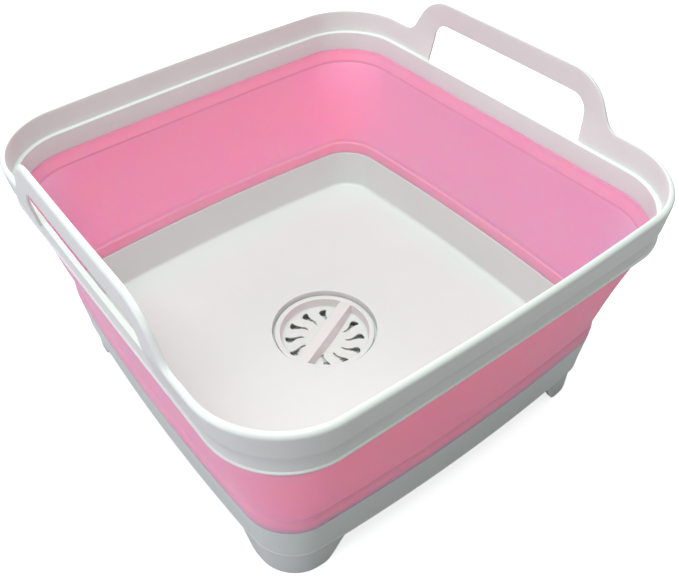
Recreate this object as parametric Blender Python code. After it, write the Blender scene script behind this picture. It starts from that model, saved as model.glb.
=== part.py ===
"""Collapsible camp washbasin.

A rigid base tray and a rigid rim with two looped handles are joined by a soft
wall that folds through itself, so that the rim drops round the base. A drain
in the middle of the floor is shut by a stopper under a lift-out strainer
basket. X runs between the plain sides, Y between the handle sides, Z is up,
and the origin is on the table under the middle of the basin.
"""
import math
from collections import namedtuple

import bmesh
import bpy
from mathutils import Vector

for leftover in list(bpy.data.objects):
    bpy.data.objects.remove(leftover, do_unlink=True)

MM = 0.001

# Clearances
FIT_GAP = 0.3 * MM
RUNNING_GAP = 0.4 * MM

# Rim outline, over the lip, and the height over the handles
BASIN_LENGTH = 310 * MM
BASIN_WIDTH = 302 * MM
BASIN_HEIGHT = 197.5 * MM
RIM_CORNER_R = 46 * MM
RIM_BOW_X = 4.8 * MM
RIM_BOW_Y = 1.8 * MM

# Rim outline, over the flange at its foot
RIM_FOOT_LENGTH = 302 * MM
RIM_FOOT_WIDTH = 292.4 * MM
RIM_FOOT_CORNER_R = 43 * MM
RIM_FOOT_BOW_X = 1.9 * MM
RIM_FOOT_BOW_Y = 0.4 * MM

# Base outline, over the top edge of the tray
BASE_LENGTH = 271.8 * MM
BASE_WIDTH = 268.4 * MM
BASE_CORNER_R = 25.5 * MM
BASE_BOW_X = 6 * MM
BASE_BOW_Y = 5.6 * MM

# Heights, from the table up; the panel takes what the rest leaves
FOOT_HEIGHT = 23.2 * MM
TRAY_HEIGHT = 33 * MM
LOWER_CUFF_HEIGHT = 9.7 * MM
UPPER_CUFF_HEIGHT = 8.4 * MM
RIM_HEIGHT = 30 * MM
HANDLE_RISE = 28.5 * MM
HEAD_HEIGHT = FIT_GAP + UPPER_CUFF_HEIGHT + FIT_GAP + RIM_HEIGHT + HANDLE_RISE
STAND_HEIGHT = FOOT_HEIGHT + TRAY_HEIGHT + FIT_GAP + LOWER_CUFF_HEIGHT + FIT_GAP
PANEL_HEIGHT = BASIN_HEIGHT - HEAD_HEIGHT - STAND_HEIGHT

# Rim section
LIP_WIDTH = 4.2 * MM
LIP_DEPTH = 3.5 * MM
RIM_UPPER_WALL = 1.7 * MM
RIM_STEP_HEIGHT = 1.6 * MM
LEDGE_HEIGHT = 14.1 * MM
LEDGE_WIDTH = 3.1 * MM
FLANGE_WALL = 2.5 * MM
FLANGE_PROUD = 0.8 * MM
FLANGE_HEIGHT = 1.4 * MM
RIM_EDGE_CHAMFER = 0.4 * MM

# Handles and their windows
HANDLE_FOOT_HALF = 91 * MM
HANDLE_FILLET_R = 10 * MM
HANDLE_CORNER_R = 28 * MM
HANDLE_FLANK_DEG = 60
HANDLE_BAR_HEIGHT = 16.4 * MM
WINDOW_SILL_HALF = 66.5 * MM
WINDOW_SIDE_LEAN = 3 * MM
WINDOW_CORNER_R = 11 * MM

# Soft wall
CUFF_SETBACK = 1.0 * MM
UPPER_CUFF_WALL = 2.2 * MM
UPPER_CUFF_LEAN = 3.8 * MM
PANEL_WALL = 1.7 * MM
CREASE_WALL = 0.9 * MM
CREASE_LENGTH = 1.6 * MM
CORNER_SWELL = 8 * MM
LOWER_CUFF_WALL = 2.9 * MM
LOWER_BEAD_PROUD = 0.8 * MM

# Base tray
TRAY_TOP_WALL = 2.9 * MM
TRAY_DRAFT = 2.8 * MM
TRAY_EDGE_CHAMFER = 0.4 * MM
TRAY_BEAD_PROUD = 0.3 * MM
TRAY_BEAD_HEIGHT = 1.6 * MM
TRAY_BEAD_LIFT = 1.2 * MM
FLOOR_WALL = 2.4 * MM
FLOOR_LIFT = 1.0 * MM
FLOOR_FILLET = 7 * MM
SKIRT_SETBACK = 2.4 * MM
SKIRT_WALL = 2.5 * MM
FOOT_DRAFT = 0.8 * MM
FOOT_FLANK_RUN = 19 * MM
FOOT_FLAT_RUN = 5 * MM
FOOT_POCKET_WIDTH = 9 * MM
FOOT_WEB_WALL = 2.2 * MM
FOOT_SOLE_BEVEL = 0.8 * MM
SKIRT_EDGE_BEVEL = 0.3 * MM

# Drain well in the tray
WELL_R = 36.8 * MM
WELL_WALL = 2.2 * MM
WELL_RIM_CHAMFER = 0.8 * MM
WELL_FLOOR_FILLET = 2.2 * MM
WELL_CLEARANCE = 3.2 * MM
OUTLET_R = 20.8 * MM
COLLAR_WALL = 2.4 * MM
COLLAR_HEIGHT = 1.2 * MM

# Drain fittings
GASKET_HEIGHT = 1.0 * MM
SEAT_FLANGE_HEIGHT = 1.4 * MM
SEAT_FLANGE_WIDTH = 6.6 * MM
SEAT_TUBE_WALL = 2.8 * MM
SEAT_BARB_PROUD = 0.7 * MM
SEAT_BARB_HEIGHT = 1.2 * MM
SPIDER_RIBS = 4
SPIDER_RIB_WIDTH = 2 * MM
SPIDER_HUB_WALL = 2.2 * MM
STEM_R = 2 * MM
STEM_COLLAR_PROUD = 1.6 * MM
STEM_COLLAR_HEIGHT = 0.9 * MM
STEM_GRIP_LENGTH = 6.5 * MM
SEAL_HEIGHT = 1.6 * MM
SEAL_WIDTH = 6 * MM
SEAL_OVERLAP = 4.6 * MM
DISC_PLATE_HEIGHT = 1.2 * MM
DISC_EDGE_SETBACK = 1.8 * MM
CLIP_HEIGHT = 0.5 * MM
CLIP_WIDTH = 2.2 * MM

# Strainer basket
BASKET_R = 35 * MM
BASKET_RING_WIDTH = 3.6 * MM
BASKET_RING_HEIGHT = 3.2 * MM
BASKET_RING_CHAMFER = 0.5 * MM
BASKET_DISH_DEPTH = 7.5 * MM
BASKET_DISC_WALL = 1.8 * MM
BASKET_CUP_WALL = 2.2 * MM
BASKET_CUP_DRAFT = 0.4 * MM
LEDGE_PLAY = 0.8 * MM
GRIP_WIDTH = 8.5 * MM
GRIP_DRAFT = 0.6 * MM
GRIP_DROP = 0.15 * MM
GRIP_ANGLE_DEG = 113.4
SLOT_COUNT = 12
SLOT_PHASE_DEG = 23
SLOT_HEAD_R = 28 * MM
SLOT_TAIL_R = 14.6 * MM
SLOT_HALF_WIDTH = 2.4 * MM
SLOT_SWAY = 1.7 * MM

# Chosen by hand: the shares of each size that an outline follows
LIP_SHARES = ((0.0, 0.42), (0.2, 0.1), (0.5, 0.0), (0.8, 0.1), (1.0, 0.42))
PLAIN_SIDE_SHARES = (-1.0, -0.6, -0.2, 0.2, 0.6, 1.0)
RIM_SIDE_SHARES = (-1.0, -0.5, 0.0, 0.5, 1.0)
BASE_SIDE_SHARES = (-0.4, 0.0, 0.4)
PANEL_LEVEL_SHARES = (0.3, 0.62)
PANEL_BULGE_SHARES = (0.2, 0.12)
SWELL_PEAK_SHARE = 0.36
SLOT_LENGTH_SHARES = (0.0, 0.2, 0.42, 0.62, 0.8, 0.93)
SLOT_WIDTH_SHARES = (0.3, 0.42, 0.66, 0.92, 1.0, 0.72)
SLOT_SWAY_SHARES = (-1.0, -0.7, 0.4, 1.0, 0.6, -0.3)

# How finely round stretches are stepped
CORNER_STEPS = 6
FLANK_STEPS = 4
FILLET_STEPS = 4
ARC_STEPS = 5
TURNED_STEPS = 40
BOW_POWER = 4

# Levels worked out from the heights
TRAY_TOP_Z = FOOT_HEIGHT + TRAY_HEIGHT
LOWER_CUFF_Z = TRAY_TOP_Z + FIT_GAP
LOWER_CREASE_Z = LOWER_CUFF_Z + LOWER_CUFF_HEIGHT + FIT_GAP
UPPER_CREASE_Z = LOWER_CREASE_Z + PANEL_HEIGHT
UPPER_CUFF_Z = UPPER_CREASE_Z + FIT_GAP
RIM_Z = UPPER_CUFF_Z + UPPER_CUFF_HEIGHT + FIT_GAP
RIM_TOP_Z = RIM_Z + RIM_HEIGHT
FLOOR_UNDER_Z = FOOT_HEIGHT + FLOOR_LIFT
FLOOR_Z = FLOOR_UNDER_Z + FLOOR_WALL

# Levels of the drain, stacked from the collar under the well
WELL_UNDER_Z = WELL_CLEARANCE + COLLAR_HEIGHT
WELL_FLOOR_Z = WELL_UNDER_Z + WELL_WALL
GASKET_Z = WELL_FLOOR_Z + FIT_GAP
SEAT_Z = GASKET_Z + GASKET_HEIGHT + FIT_GAP
SEAL_Z = SEAT_Z + SEAT_FLANGE_HEIGHT + FIT_GAP
DISC_Z = SEAL_Z + FIT_GAP
DISC_PLATE_Z = SEAL_Z + SEAL_HEIGHT + FIT_GAP
CLIP_Z = DISC_PLATE_Z + DISC_PLATE_HEIGHT + FIT_GAP
BASKET_DISC_Z = CLIP_Z + CLIP_HEIGHT + FIT_GAP
BASKET_DISH_Z = BASKET_DISC_Z + BASKET_DISC_WALL
BASKET_TOP_Z = BASKET_DISH_Z + BASKET_DISH_DEPTH
BASKET_RING_Z = BASKET_TOP_Z - BASKET_RING_HEIGHT
WELL_LEDGE_Z = BASKET_RING_Z - FIT_GAP

# Radii of the drain
SEAT_TUBE_R = OUTLET_R - RUNNING_GAP
SEAT_BORE_R = SEAT_TUBE_R - SEAT_TUBE_WALL
SEAT_FLANGE_R = SEAT_TUBE_R + SEAT_FLANGE_WIDTH
SEAL_R = SEAT_BORE_R + SEAL_OVERLAP
SEAL_BORE_R = SEAL_R - SEAL_WIDTH
DISC_R = SEAL_R - DISC_EDGE_SETBACK
HUB_BORE_R = STEM_R + RUNNING_GAP
HUB_R = HUB_BORE_R + SPIDER_HUB_WALL
BASKET_RING_BORE_R = BASKET_R - BASKET_RING_WIDTH
BASKET_CUP_R = BASKET_RING_BORE_R + BASKET_CUP_WALL
WELL_BORE_R = BASKET_CUP_R + LEDGE_PLAY
WELL_LEDGE_R = WELL_R - BASKET_CUP_DRAFT / 2

Outline = namedtuple("Outline", "half_x half_y corner_r bow_x bow_y")
RIM_OUTLINE = Outline(BASIN_LENGTH / 2, BASIN_WIDTH / 2, RIM_CORNER_R, RIM_BOW_X, RIM_BOW_Y)
RIM_FOOT_HALVES = (RIM_FOOT_LENGTH / 2, RIM_FOOT_WIDTH / 2)
RIM_FOOT_OUTLINE = Outline(*RIM_FOOT_HALVES, RIM_FOOT_CORNER_R, RIM_FOOT_BOW_X, RIM_FOOT_BOW_Y)
BASE_OUTLINE = Outline(BASE_LENGTH / 2, BASE_WIDTH / 2, BASE_CORNER_R, BASE_BOW_X, BASE_BOW_Y)


def plastic(name, colour, roughness, metallic=0.0):
    """A Principled material with its colour, roughness and metallic value."""
    material = bpy.data.materials.new(name)
    material.use_nodes = True
    shader = material.node_tree.nodes["Principled BSDF"]
    shader.inputs["Base Color"].default_value = (*colour, 1.0)
    shader.inputs["Roughness"].default_value = roughness
    shader.inputs["Metallic"].default_value = metallic
    material.diffuse_color = (*colour, 1.0)
    return material


WHITE_PLASTIC = plastic("white_polypropylene", (0.86, 0.86, 0.85), 0.38)
PINK_RUBBER = plastic("pink_elastomer", (0.84, 0.27, 0.42), 0.52)
CLEAR_RUBBER = plastic("milky_silicone", (0.78, 0.79, 0.78), 0.45)
STEEL = plastic("stainless_steel", (0.62, 0.62, 0.63), 0.25, 1.0)


def joint_empty(name, height):
    """An empty on the basin's middle axis that carries one moving body."""
    empty = bpy.data.objects.new(name, None)
    empty.location = (0, 0, height)
    empty.empty_display_type = "SINGLE_ARROW"
    bpy.context.scene.collection.objects.link(empty)
    return empty


RIM_CARRIER = joint_empty("collapse_slide", RIM_Z)
PLUG_CARRIER = joint_empty("plug_lift", DISC_Z)
BASKET_CARRIER = joint_empty("basket_turn", BASKET_DISC_Z)
BASKET_CARRIER.parent = PLUG_CARRIER
BASKET_CARRIER.location = (0, 0, BASKET_DISC_Z - DISC_Z)
CARRIER_Z = {RIM_CARRIER: RIM_Z, PLUG_CARRIER: DISC_Z, BASKET_CARRIER: BASKET_DISC_Z}


def finish_object(name, mesh_builder, material, carrier=None):
    """Turn a closed bmesh into a named object, hung on its carrier if it moves."""
    bmesh.ops.recalc_face_normals(mesh_builder, faces=mesh_builder.faces)
    if carrier is not None:
        drop = Vector((0, 0, -CARRIER_Z[carrier]))
        bmesh.ops.translate(mesh_builder, verts=mesh_builder.verts, vec=drop)
    mesh = bpy.data.meshes.new(name)
    mesh_builder.to_mesh(mesh)
    mesh_builder.free()
    mesh.shade_smooth()
    mesh.set_sharp_from_angle(angle=math.radians(35))
    item = bpy.data.objects.new(name, mesh)
    item.data.materials.append(material)
    item.parent = carrier
    bpy.context.scene.collection.objects.link(item)
    return item


def cutter_object(name, mesh_builder, carrier=None):
    """A guide body that only cuts other pieces."""
    item = finish_object(name, mesh_builder, WHITE_PLASTIC, carrier)
    item.hide_render = True
    item.display_type = "WIRE"
    return item


def combine(item, tool, operation):
    """Join the tool to the item, or cut it out, with an exact Boolean."""
    modifier = item.modifiers.new(tool.name, "BOOLEAN")
    modifier.operation = operation
    modifier.solver = "EXACT"
    modifier.object = tool


def inset(outline, distance):
    """The parallel outline a given distance inside this one."""
    return outline._replace(
        half_x=outline.half_x - distance,
        half_y=outline.half_y - distance,
        corner_r=outline.corner_r - distance,
    )


def between(first, last, share, swell=0.0):
    """An outline part of the way from one to another, with rounder corners."""
    mixed = [a + (b - a) * share for a, b in zip(first, last)]
    outline = Outline(*mixed)
    return outline._replace(corner_r=outline.corner_r + swell)


def station_point(outline, station, height):
    """The point of an outline at one station.

    A station is a quarter of the way round, whether it lies on the corner
    after that quarter's side, and its share of that side or corner.
    """
    quarter, on_corner, share = station
    box = (outline.half_x - outline.bow_x, outline.half_y - outline.bow_y)
    out_half = box[quarter % 2]
    along_half = box[(quarter + 1) % 2]
    radius = outline.corner_r
    if on_corner:
        angle = share * math.pi / 2
        out = out_half - radius + radius * math.cos(angle)
        along = along_half - radius + radius * math.sin(angle)
    else:
        out = out_half
        along = share * (along_half - radius)
    turn = quarter * math.pi / 2
    x = out * math.cos(turn) - along * math.sin(turn)
    y = out * math.sin(turn) + along * math.cos(turn)
    fade_x = max(0.0, 1 - (y / box[1]) ** 2) * (abs(x) / box[0]) ** BOW_POWER
    fade_y = max(0.0, 1 - (x / box[0]) ** 2) * (abs(y) / box[1]) ** BOW_POWER
    bowed_x = x + math.copysign(outline.bow_x * fade_x, x)
    bowed_y = y + math.copysign(outline.bow_y * fade_y, y)
    return Vector((bowed_x, bowed_y, height))


def corner_stations(quarter, steps=CORNER_STEPS):
    """The stations inside one corner, without its two ends."""
    return [(quarter, True, step / steps) for step in range(1, steps)]


def straight_half(outline, quarter):
    """Half the length of a side between its two corners."""
    box = (outline.half_x - outline.bow_x, outline.half_y - outline.bow_y)
    return box[(quarter + 1) % 2] - outline.corner_r


def circle_ring(radius, height, count, lead=0.0):
    """Evenly spaced points on a circle, the first a few steps before +X."""
    ring = []
    for step in range(count):
        angle = 2 * math.pi * (step - lead) / count
        ring.append(Vector((radius * math.cos(angle), radius * math.sin(angle), height)))
    return ring


def closed_loft(rings):
    """A ring-shaped body: each ring is bridged to the next, the last to the first."""
    builder = bmesh.new()
    rows = [[builder.verts.new(point) for point in ring] for ring in rings]
    count = len(rows[0])
    for row, following in zip(rows, rows[1:] + rows[:1]):
        for step in range(count):
            after = (step + 1) % count
            builder.faces.new((row[step], row[after], following[after], following[step]))
    return builder


def capped_loft(rings):
    """A solid body: each ring is bridged to the next and the ends are filled."""
    builder = bmesh.new()
    rows = [[builder.verts.new(point) for point in ring] for ring in rings]
    count = len(rows[0])
    for row, following in zip(rows, rows[1:]):
        for step in range(count):
            after = (step + 1) % count
            builder.faces.new((row[step], row[after], following[after], following[step]))
    builder.faces.new(rows[0])
    builder.faces.new(rows[-1])
    return builder


def turned_ring(profile, steps=TURNED_STEPS):
    """A body turned round the middle axis from a closed profile of (radius, height)."""
    return closed_loft([circle_ring(radius, height, steps) for radius, height in profile])


def turned_solid(profile, steps=TURNED_STEPS):
    """A solid shaft turned from a profile of (radius, height), bottom to top."""
    return capped_loft([circle_ring(radius, height, steps) for radius, height in profile])


def handle_outline():
    """Half of a handle's outline: (distance from its middle, rise over the rim).

    It leaves the rim in a hollow fillet, climbs a steep flank and turns over
    a round shoulder into the level bar.
    """
    flank = math.radians(HANDLE_FLANK_DEG)
    fillet_rise = HANDLE_FILLET_R * (1 - math.cos(flank))
    shoulder_rise = HANDLE_CORNER_R * (1 - math.cos(flank))
    flank_rise = max(HANDLE_RISE - fillet_rise - shoulder_rise, 0.0)
    points = []
    for step in range(FILLET_STEPS + 1):
        angle = flank * step / FILLET_STEPS
        across = HANDLE_FOOT_HALF - HANDLE_FILLET_R * math.sin(angle)
        points.append((across, HANDLE_FILLET_R * (1 - math.cos(angle))))
    flank_end = points[-1][0] - flank_rise / math.tan(flank)
    bar_end = flank_end - HANDLE_CORNER_R * math.sin(flank)
    for step in range(ARC_STEPS + 1):
        angle = flank * (1 - step / ARC_STEPS)
        across = bar_end + HANDLE_CORNER_R * math.sin(angle)
        points.append((across, HANDLE_RISE - HANDLE_CORNER_R * (1 - math.cos(angle))))
    return points


def rim_stations():
    """The rim's stations, each with how far the lip is raised there."""
    stations = []
    half_outline = handle_outline()
    for quarter in range(4):
        half = straight_half(RIM_OUTLINE, quarter)
        if quarter % 2:
            side = [(-1.0, 0.0)]
            side += [(-across / half, rise) for across, rise in half_outline]
            side += [(0.0, HANDLE_RISE)]
            side += [(across / half, rise) for across, rise in reversed(half_outline)]
            side += [(1.0, 0.0)]
        else:
            side = [(share, 0.0) for share in RIM_SIDE_SHARES]
        stations += [((quarter, False, share), rise) for share, rise in side]
        stations += [(station, 0.0) for station in corner_stations(quarter)]
    return stations


def rim_level(height, depth):
    """The rim's drafted outline at a height, a given depth inside its face."""
    share = min(max((RIM_TOP_Z - height) / RIM_HEIGHT, 0.0), 1.0)
    return inset(between(RIM_OUTLINE, RIM_FOOT_OUTLINE, share), depth)


def build_rim():
    """The rim frame: lip, upper wall on its ledge, lower band and two looped handles."""
    ledge_z = RIM_Z + LEDGE_HEIGHT
    step_z = ledge_z - RIM_STEP_HEIGHT
    lip_base_z = RIM_TOP_Z - LIP_DEPTH
    ledge_end = RIM_UPPER_WALL + LEDGE_WIDTH
    section = []
    for across, down in LIP_SHARES:
        section.append((LIP_WIDTH * across, RIM_TOP_Z - LIP_DEPTH * down, True))
    section += [
        (LIP_WIDTH, lip_base_z, True),
        (RIM_UPPER_WALL, ledge_z, False),
        (ledge_end - RIM_EDGE_CHAMFER, ledge_z, False),
        (ledge_end, ledge_z - RIM_EDGE_CHAMFER, False),
        (FLANGE_WALL, RIM_Z + RIM_EDGE_CHAMFER, False),
        (FLANGE_WALL - RIM_EDGE_CHAMFER, RIM_Z, False),
        (RIM_EDGE_CHAMFER, RIM_Z, False),
        (0.0, RIM_Z + RIM_EDGE_CHAMFER, False),
        (0.0, RIM_Z + FLANGE_HEIGHT, False),
        (FLANGE_PROUD, RIM_Z + FLANGE_HEIGHT + RIM_EDGE_CHAMFER, False),
        (RIM_UPPER_WALL, step_z, False),
        (RIM_EDGE_CHAMFER, step_z + RIM_EDGE_CHAMFER, False),
        (0.0, step_z + 2 * RIM_EDGE_CHAMFER, False),
        (0.0, lip_base_z, True),
    ]
    stations = rim_stations()
    rings = []
    for depth, height, follows_lip in section:
        outline = rim_level(height, depth)
        ring = []
        for station, rise in stations:
            ring.append(station_point(outline, station, height + (rise if follows_lip else 0.0)))
        rings.append(ring)
    rim = finish_object("rim_frame", closed_loft(rings), WHITE_PLASTIC, RIM_CARRIER)
    combine(rim, window_cutter(ledge_z), "DIFFERENCE")
    combine(rim, rebate_cutter(step_z, ledge_z), "DIFFERENCE")


def rebate_cutter(step_z, ledge_z):
    """What clears the upper wall's foot off the outside of each window's sill."""
    face_y = rim_level(ledge_z, RIM_UPPER_WALL).half_y
    low_z = step_z - RIM_STEP_HEIGHT
    high_z = ledge_z + RIM_STEP_HEIGHT
    builder = bmesh.new()
    for side in (-1, 1):
        rings = []
        for y in (side * face_y, side * BASIN_WIDTH):
            ring = []
            for x, z in ((-1, low_z), (1, low_z), (1, high_z), (-1, high_z)):
                ring.append(builder.verts.new((x * WINDOW_SILL_HALF, y, z)))
            rings.append(ring)
        near, far = rings
        builder.faces.new(near)
        builder.faces.new(far)
        for step in range(4):
            after = (step + 1) % 4
            builder.faces.new((near[step], near[after], far[after], far[step]))
    return cutter_object("rebate_cutter", builder, RIM_CARRIER)


def window_cutter(sill_z):
    """The opening of both handles, as one bar through the basin."""
    top_z = RIM_TOP_Z + HANDLE_RISE - HANDLE_BAR_HEIGHT
    lean = math.atan2(WINDOW_SIDE_LEAN, top_z - sill_z)
    top_half = WINDOW_SILL_HALF - WINDOW_SIDE_LEAN
    bend = math.pi / 2 - lean
    setback = WINDOW_CORNER_R * math.tan(bend / 2)
    half = [(WINDOW_SILL_HALF, sill_z)]
    for step in range(ARC_STEPS + 1):
        angle = lean + bend * step / ARC_STEPS
        across = top_half - setback + WINDOW_CORNER_R * math.cos(angle)
        half.append((across, top_z - WINDOW_CORNER_R * (1 - math.sin(angle))))
    outline = half + [(-across, height) for across, height in reversed(half)]
    reach = BASIN_WIDTH
    rings = []
    for y in (-reach, reach):
        rings.append([Vector((across, y, height)) for across, height in outline])
    return cutter_object("window_cutter", capped_loft(rings), RIM_CARRIER)


def wall_stations():
    """The soft wall's stations: plain sides and round corners."""
    stations = []
    for quarter in range(4):
        stations += [(quarter, False, share) for share in PLAIN_SIDE_SHARES]
        stations += corner_stations(quarter)
    return stations


def wall_loft(section):
    """A ring of soft wall from a section of (outline, height)."""
    stations = wall_stations()
    rings = []
    for outline, height in section:
        rings.append([station_point(outline, station, height) for station in stations])
    return closed_loft(rings)


def build_upper_cuff():
    """The soft cuff that is moulded on under the rim and leans in to the crease."""
    top = CUFF_SETBACK
    bottom = CUFF_SETBACK + UPPER_CUFF_LEAN
    top_z = UPPER_CUFF_Z + UPPER_CUFF_HEIGHT
    shoulder_z = top_z - UPPER_CUFF_WALL
    section = [
        (inset(RIM_FOOT_OUTLINE, top), top_z),
        (inset(RIM_FOOT_OUTLINE, top + UPPER_CUFF_WALL), top_z),
        (inset(RIM_FOOT_OUTLINE, top + UPPER_CUFF_WALL + CUFF_SETBACK), shoulder_z),
        (inset(RIM_FOOT_OUTLINE, bottom + PANEL_WALL), UPPER_CUFF_Z + CREASE_WALL),
        (inset(RIM_FOOT_OUTLINE, bottom + CREASE_WALL), UPPER_CUFF_Z),
        (inset(RIM_FOOT_OUTLINE, bottom), UPPER_CUFF_Z),
        (inset(RIM_FOOT_OUTLINE, top + CUFF_SETBACK / 2), shoulder_z),
    ]
    finish_object("wall_upper_cuff", wall_loft(section), PINK_RUBBER, RIM_CARRIER)


def corner_swell(share):
    """How much rounder the panel's corners are at a share of its way down."""
    if share < SWELL_PEAK_SHARE:
        turn = share / SWELL_PEAK_SHARE
    else:
        turn = (1 - share) / (1 - SWELL_PEAK_SHARE)
    return CORNER_SWELL * math.sin(turn * math.pi / 2)


def build_fold_panel():
    """The panel that folds through itself, thinned at both creases into hinges."""
    top = inset(RIM_FOOT_OUTLINE, CUFF_SETBACK + UPPER_CUFF_LEAN)
    bottom = inset(BASE_OUTLINE, LOWER_BEAD_PROUD)
    hinge_share = CREASE_LENGTH / PANEL_HEIGHT
    levels = [(0.0, 0.0, CREASE_WALL), (hinge_share, 0.0, PANEL_WALL)]
    for share, bulge in zip(PANEL_LEVEL_SHARES, PANEL_BULGE_SHARES):
        levels.append((share, bulge * UPPER_CUFF_LEAN, PANEL_WALL))
    levels += [(1 - hinge_share, 0.0, PANEL_WALL), (1.0, 0.0, CREASE_WALL)]
    outer = []
    inner = []
    for share, bulge, wall in levels:
        outline = inset(between(top, bottom, share, corner_swell(share)), -bulge)
        height = UPPER_CREASE_Z - PANEL_HEIGHT * share
        outer.append((outline, height))
        inner.append((inset(outline, wall), height))
    section = outer + inner[::-1]
    finish_object("wall_fold_panel", wall_loft(section), PINK_RUBBER)


def build_lower_cuff():
    """The soft cuff on the tray, with a bead that backs the lower crease."""
    bottom = TRAY_EDGE_CHAMFER
    top_z = LOWER_CUFF_Z + LOWER_CUFF_HEIGHT
    bead_z = top_z - LOWER_CUFF_WALL
    inner = bottom + LOWER_CUFF_WALL
    section = [
        (inset(BASE_OUTLINE, 0.0), top_z),
        (inset(BASE_OUTLINE, LOWER_BEAD_PROUD + PANEL_WALL), top_z),
        (inset(BASE_OUTLINE, inner - CREASE_WALL / 2), bead_z),
        (inset(BASE_OUTLINE, inner), LOWER_CUFF_Z),
        (inset(BASE_OUTLINE, bottom), LOWER_CUFF_Z),
        (inset(BASE_OUTLINE, bottom - LOWER_BEAD_PROUD / 2), bead_z - CREASE_LENGTH),
        (inset(BASE_OUTLINE, -LOWER_BEAD_PROUD), bead_z + CREASE_LENGTH / 2),
    ]
    finish_object("wall_lower_cuff", wall_loft(section), PINK_RUBBER)


def base_stations():
    """The tray's stations, each with its share of the foot's full depth."""
    stations = []
    for quarter in range(4):
        half = straight_half(BASE_OUTLINE, quarter)
        flank = []
        for step in range(FLANK_STEPS + 1):
            along = half - FOOT_FLAT_RUN - FOOT_FLANK_RUN * (1 - step / FLANK_STEPS)
            share = step / FLANK_STEPS
            flank.append((along / half, share * share * (3 - 2 * share)))
        side = [(-share, depth) for share, depth in reversed(flank)]
        arch_share = 1 - (FOOT_FLAT_RUN + FOOT_FLANK_RUN) / half
        side += [(share * arch_share * 2, 0.0) for share in BASE_SIDE_SHARES]
        side += flank
        stations += [((quarter, False, share), depth) for share, depth in side]
        stations += [(station, 1.0) for station in corner_stations(quarter)]
    return stations


def foot_ring(stations, edge_inset, foot_inset, edge_z, foot_z):
    """A ring under the tray that drops from its edge to the soles at the corners."""
    ring = []
    for station, depth in stations:
        distance = edge_inset + (foot_inset - edge_inset) * depth
        height = edge_z + (foot_z - edge_z) * depth
        ring.append(station_point(inset(BASE_OUTLINE, distance), station, height))
    return ring


def pocket_ring(stations, distance):
    """The roof of the hollow inside each foot, closed where the foot's flanks rise."""
    ring = []
    for station, depth in stations:
        flank_z = FOOT_HEIGHT * (1 - depth) + FOOT_SOLE_BEVEL
        height = flank_z if 0.0 < depth < 1.0 else FLOOR_UNDER_Z
        ring.append(station_point(inset(BASE_OUTLINE, distance), station, height))
    return ring


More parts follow.
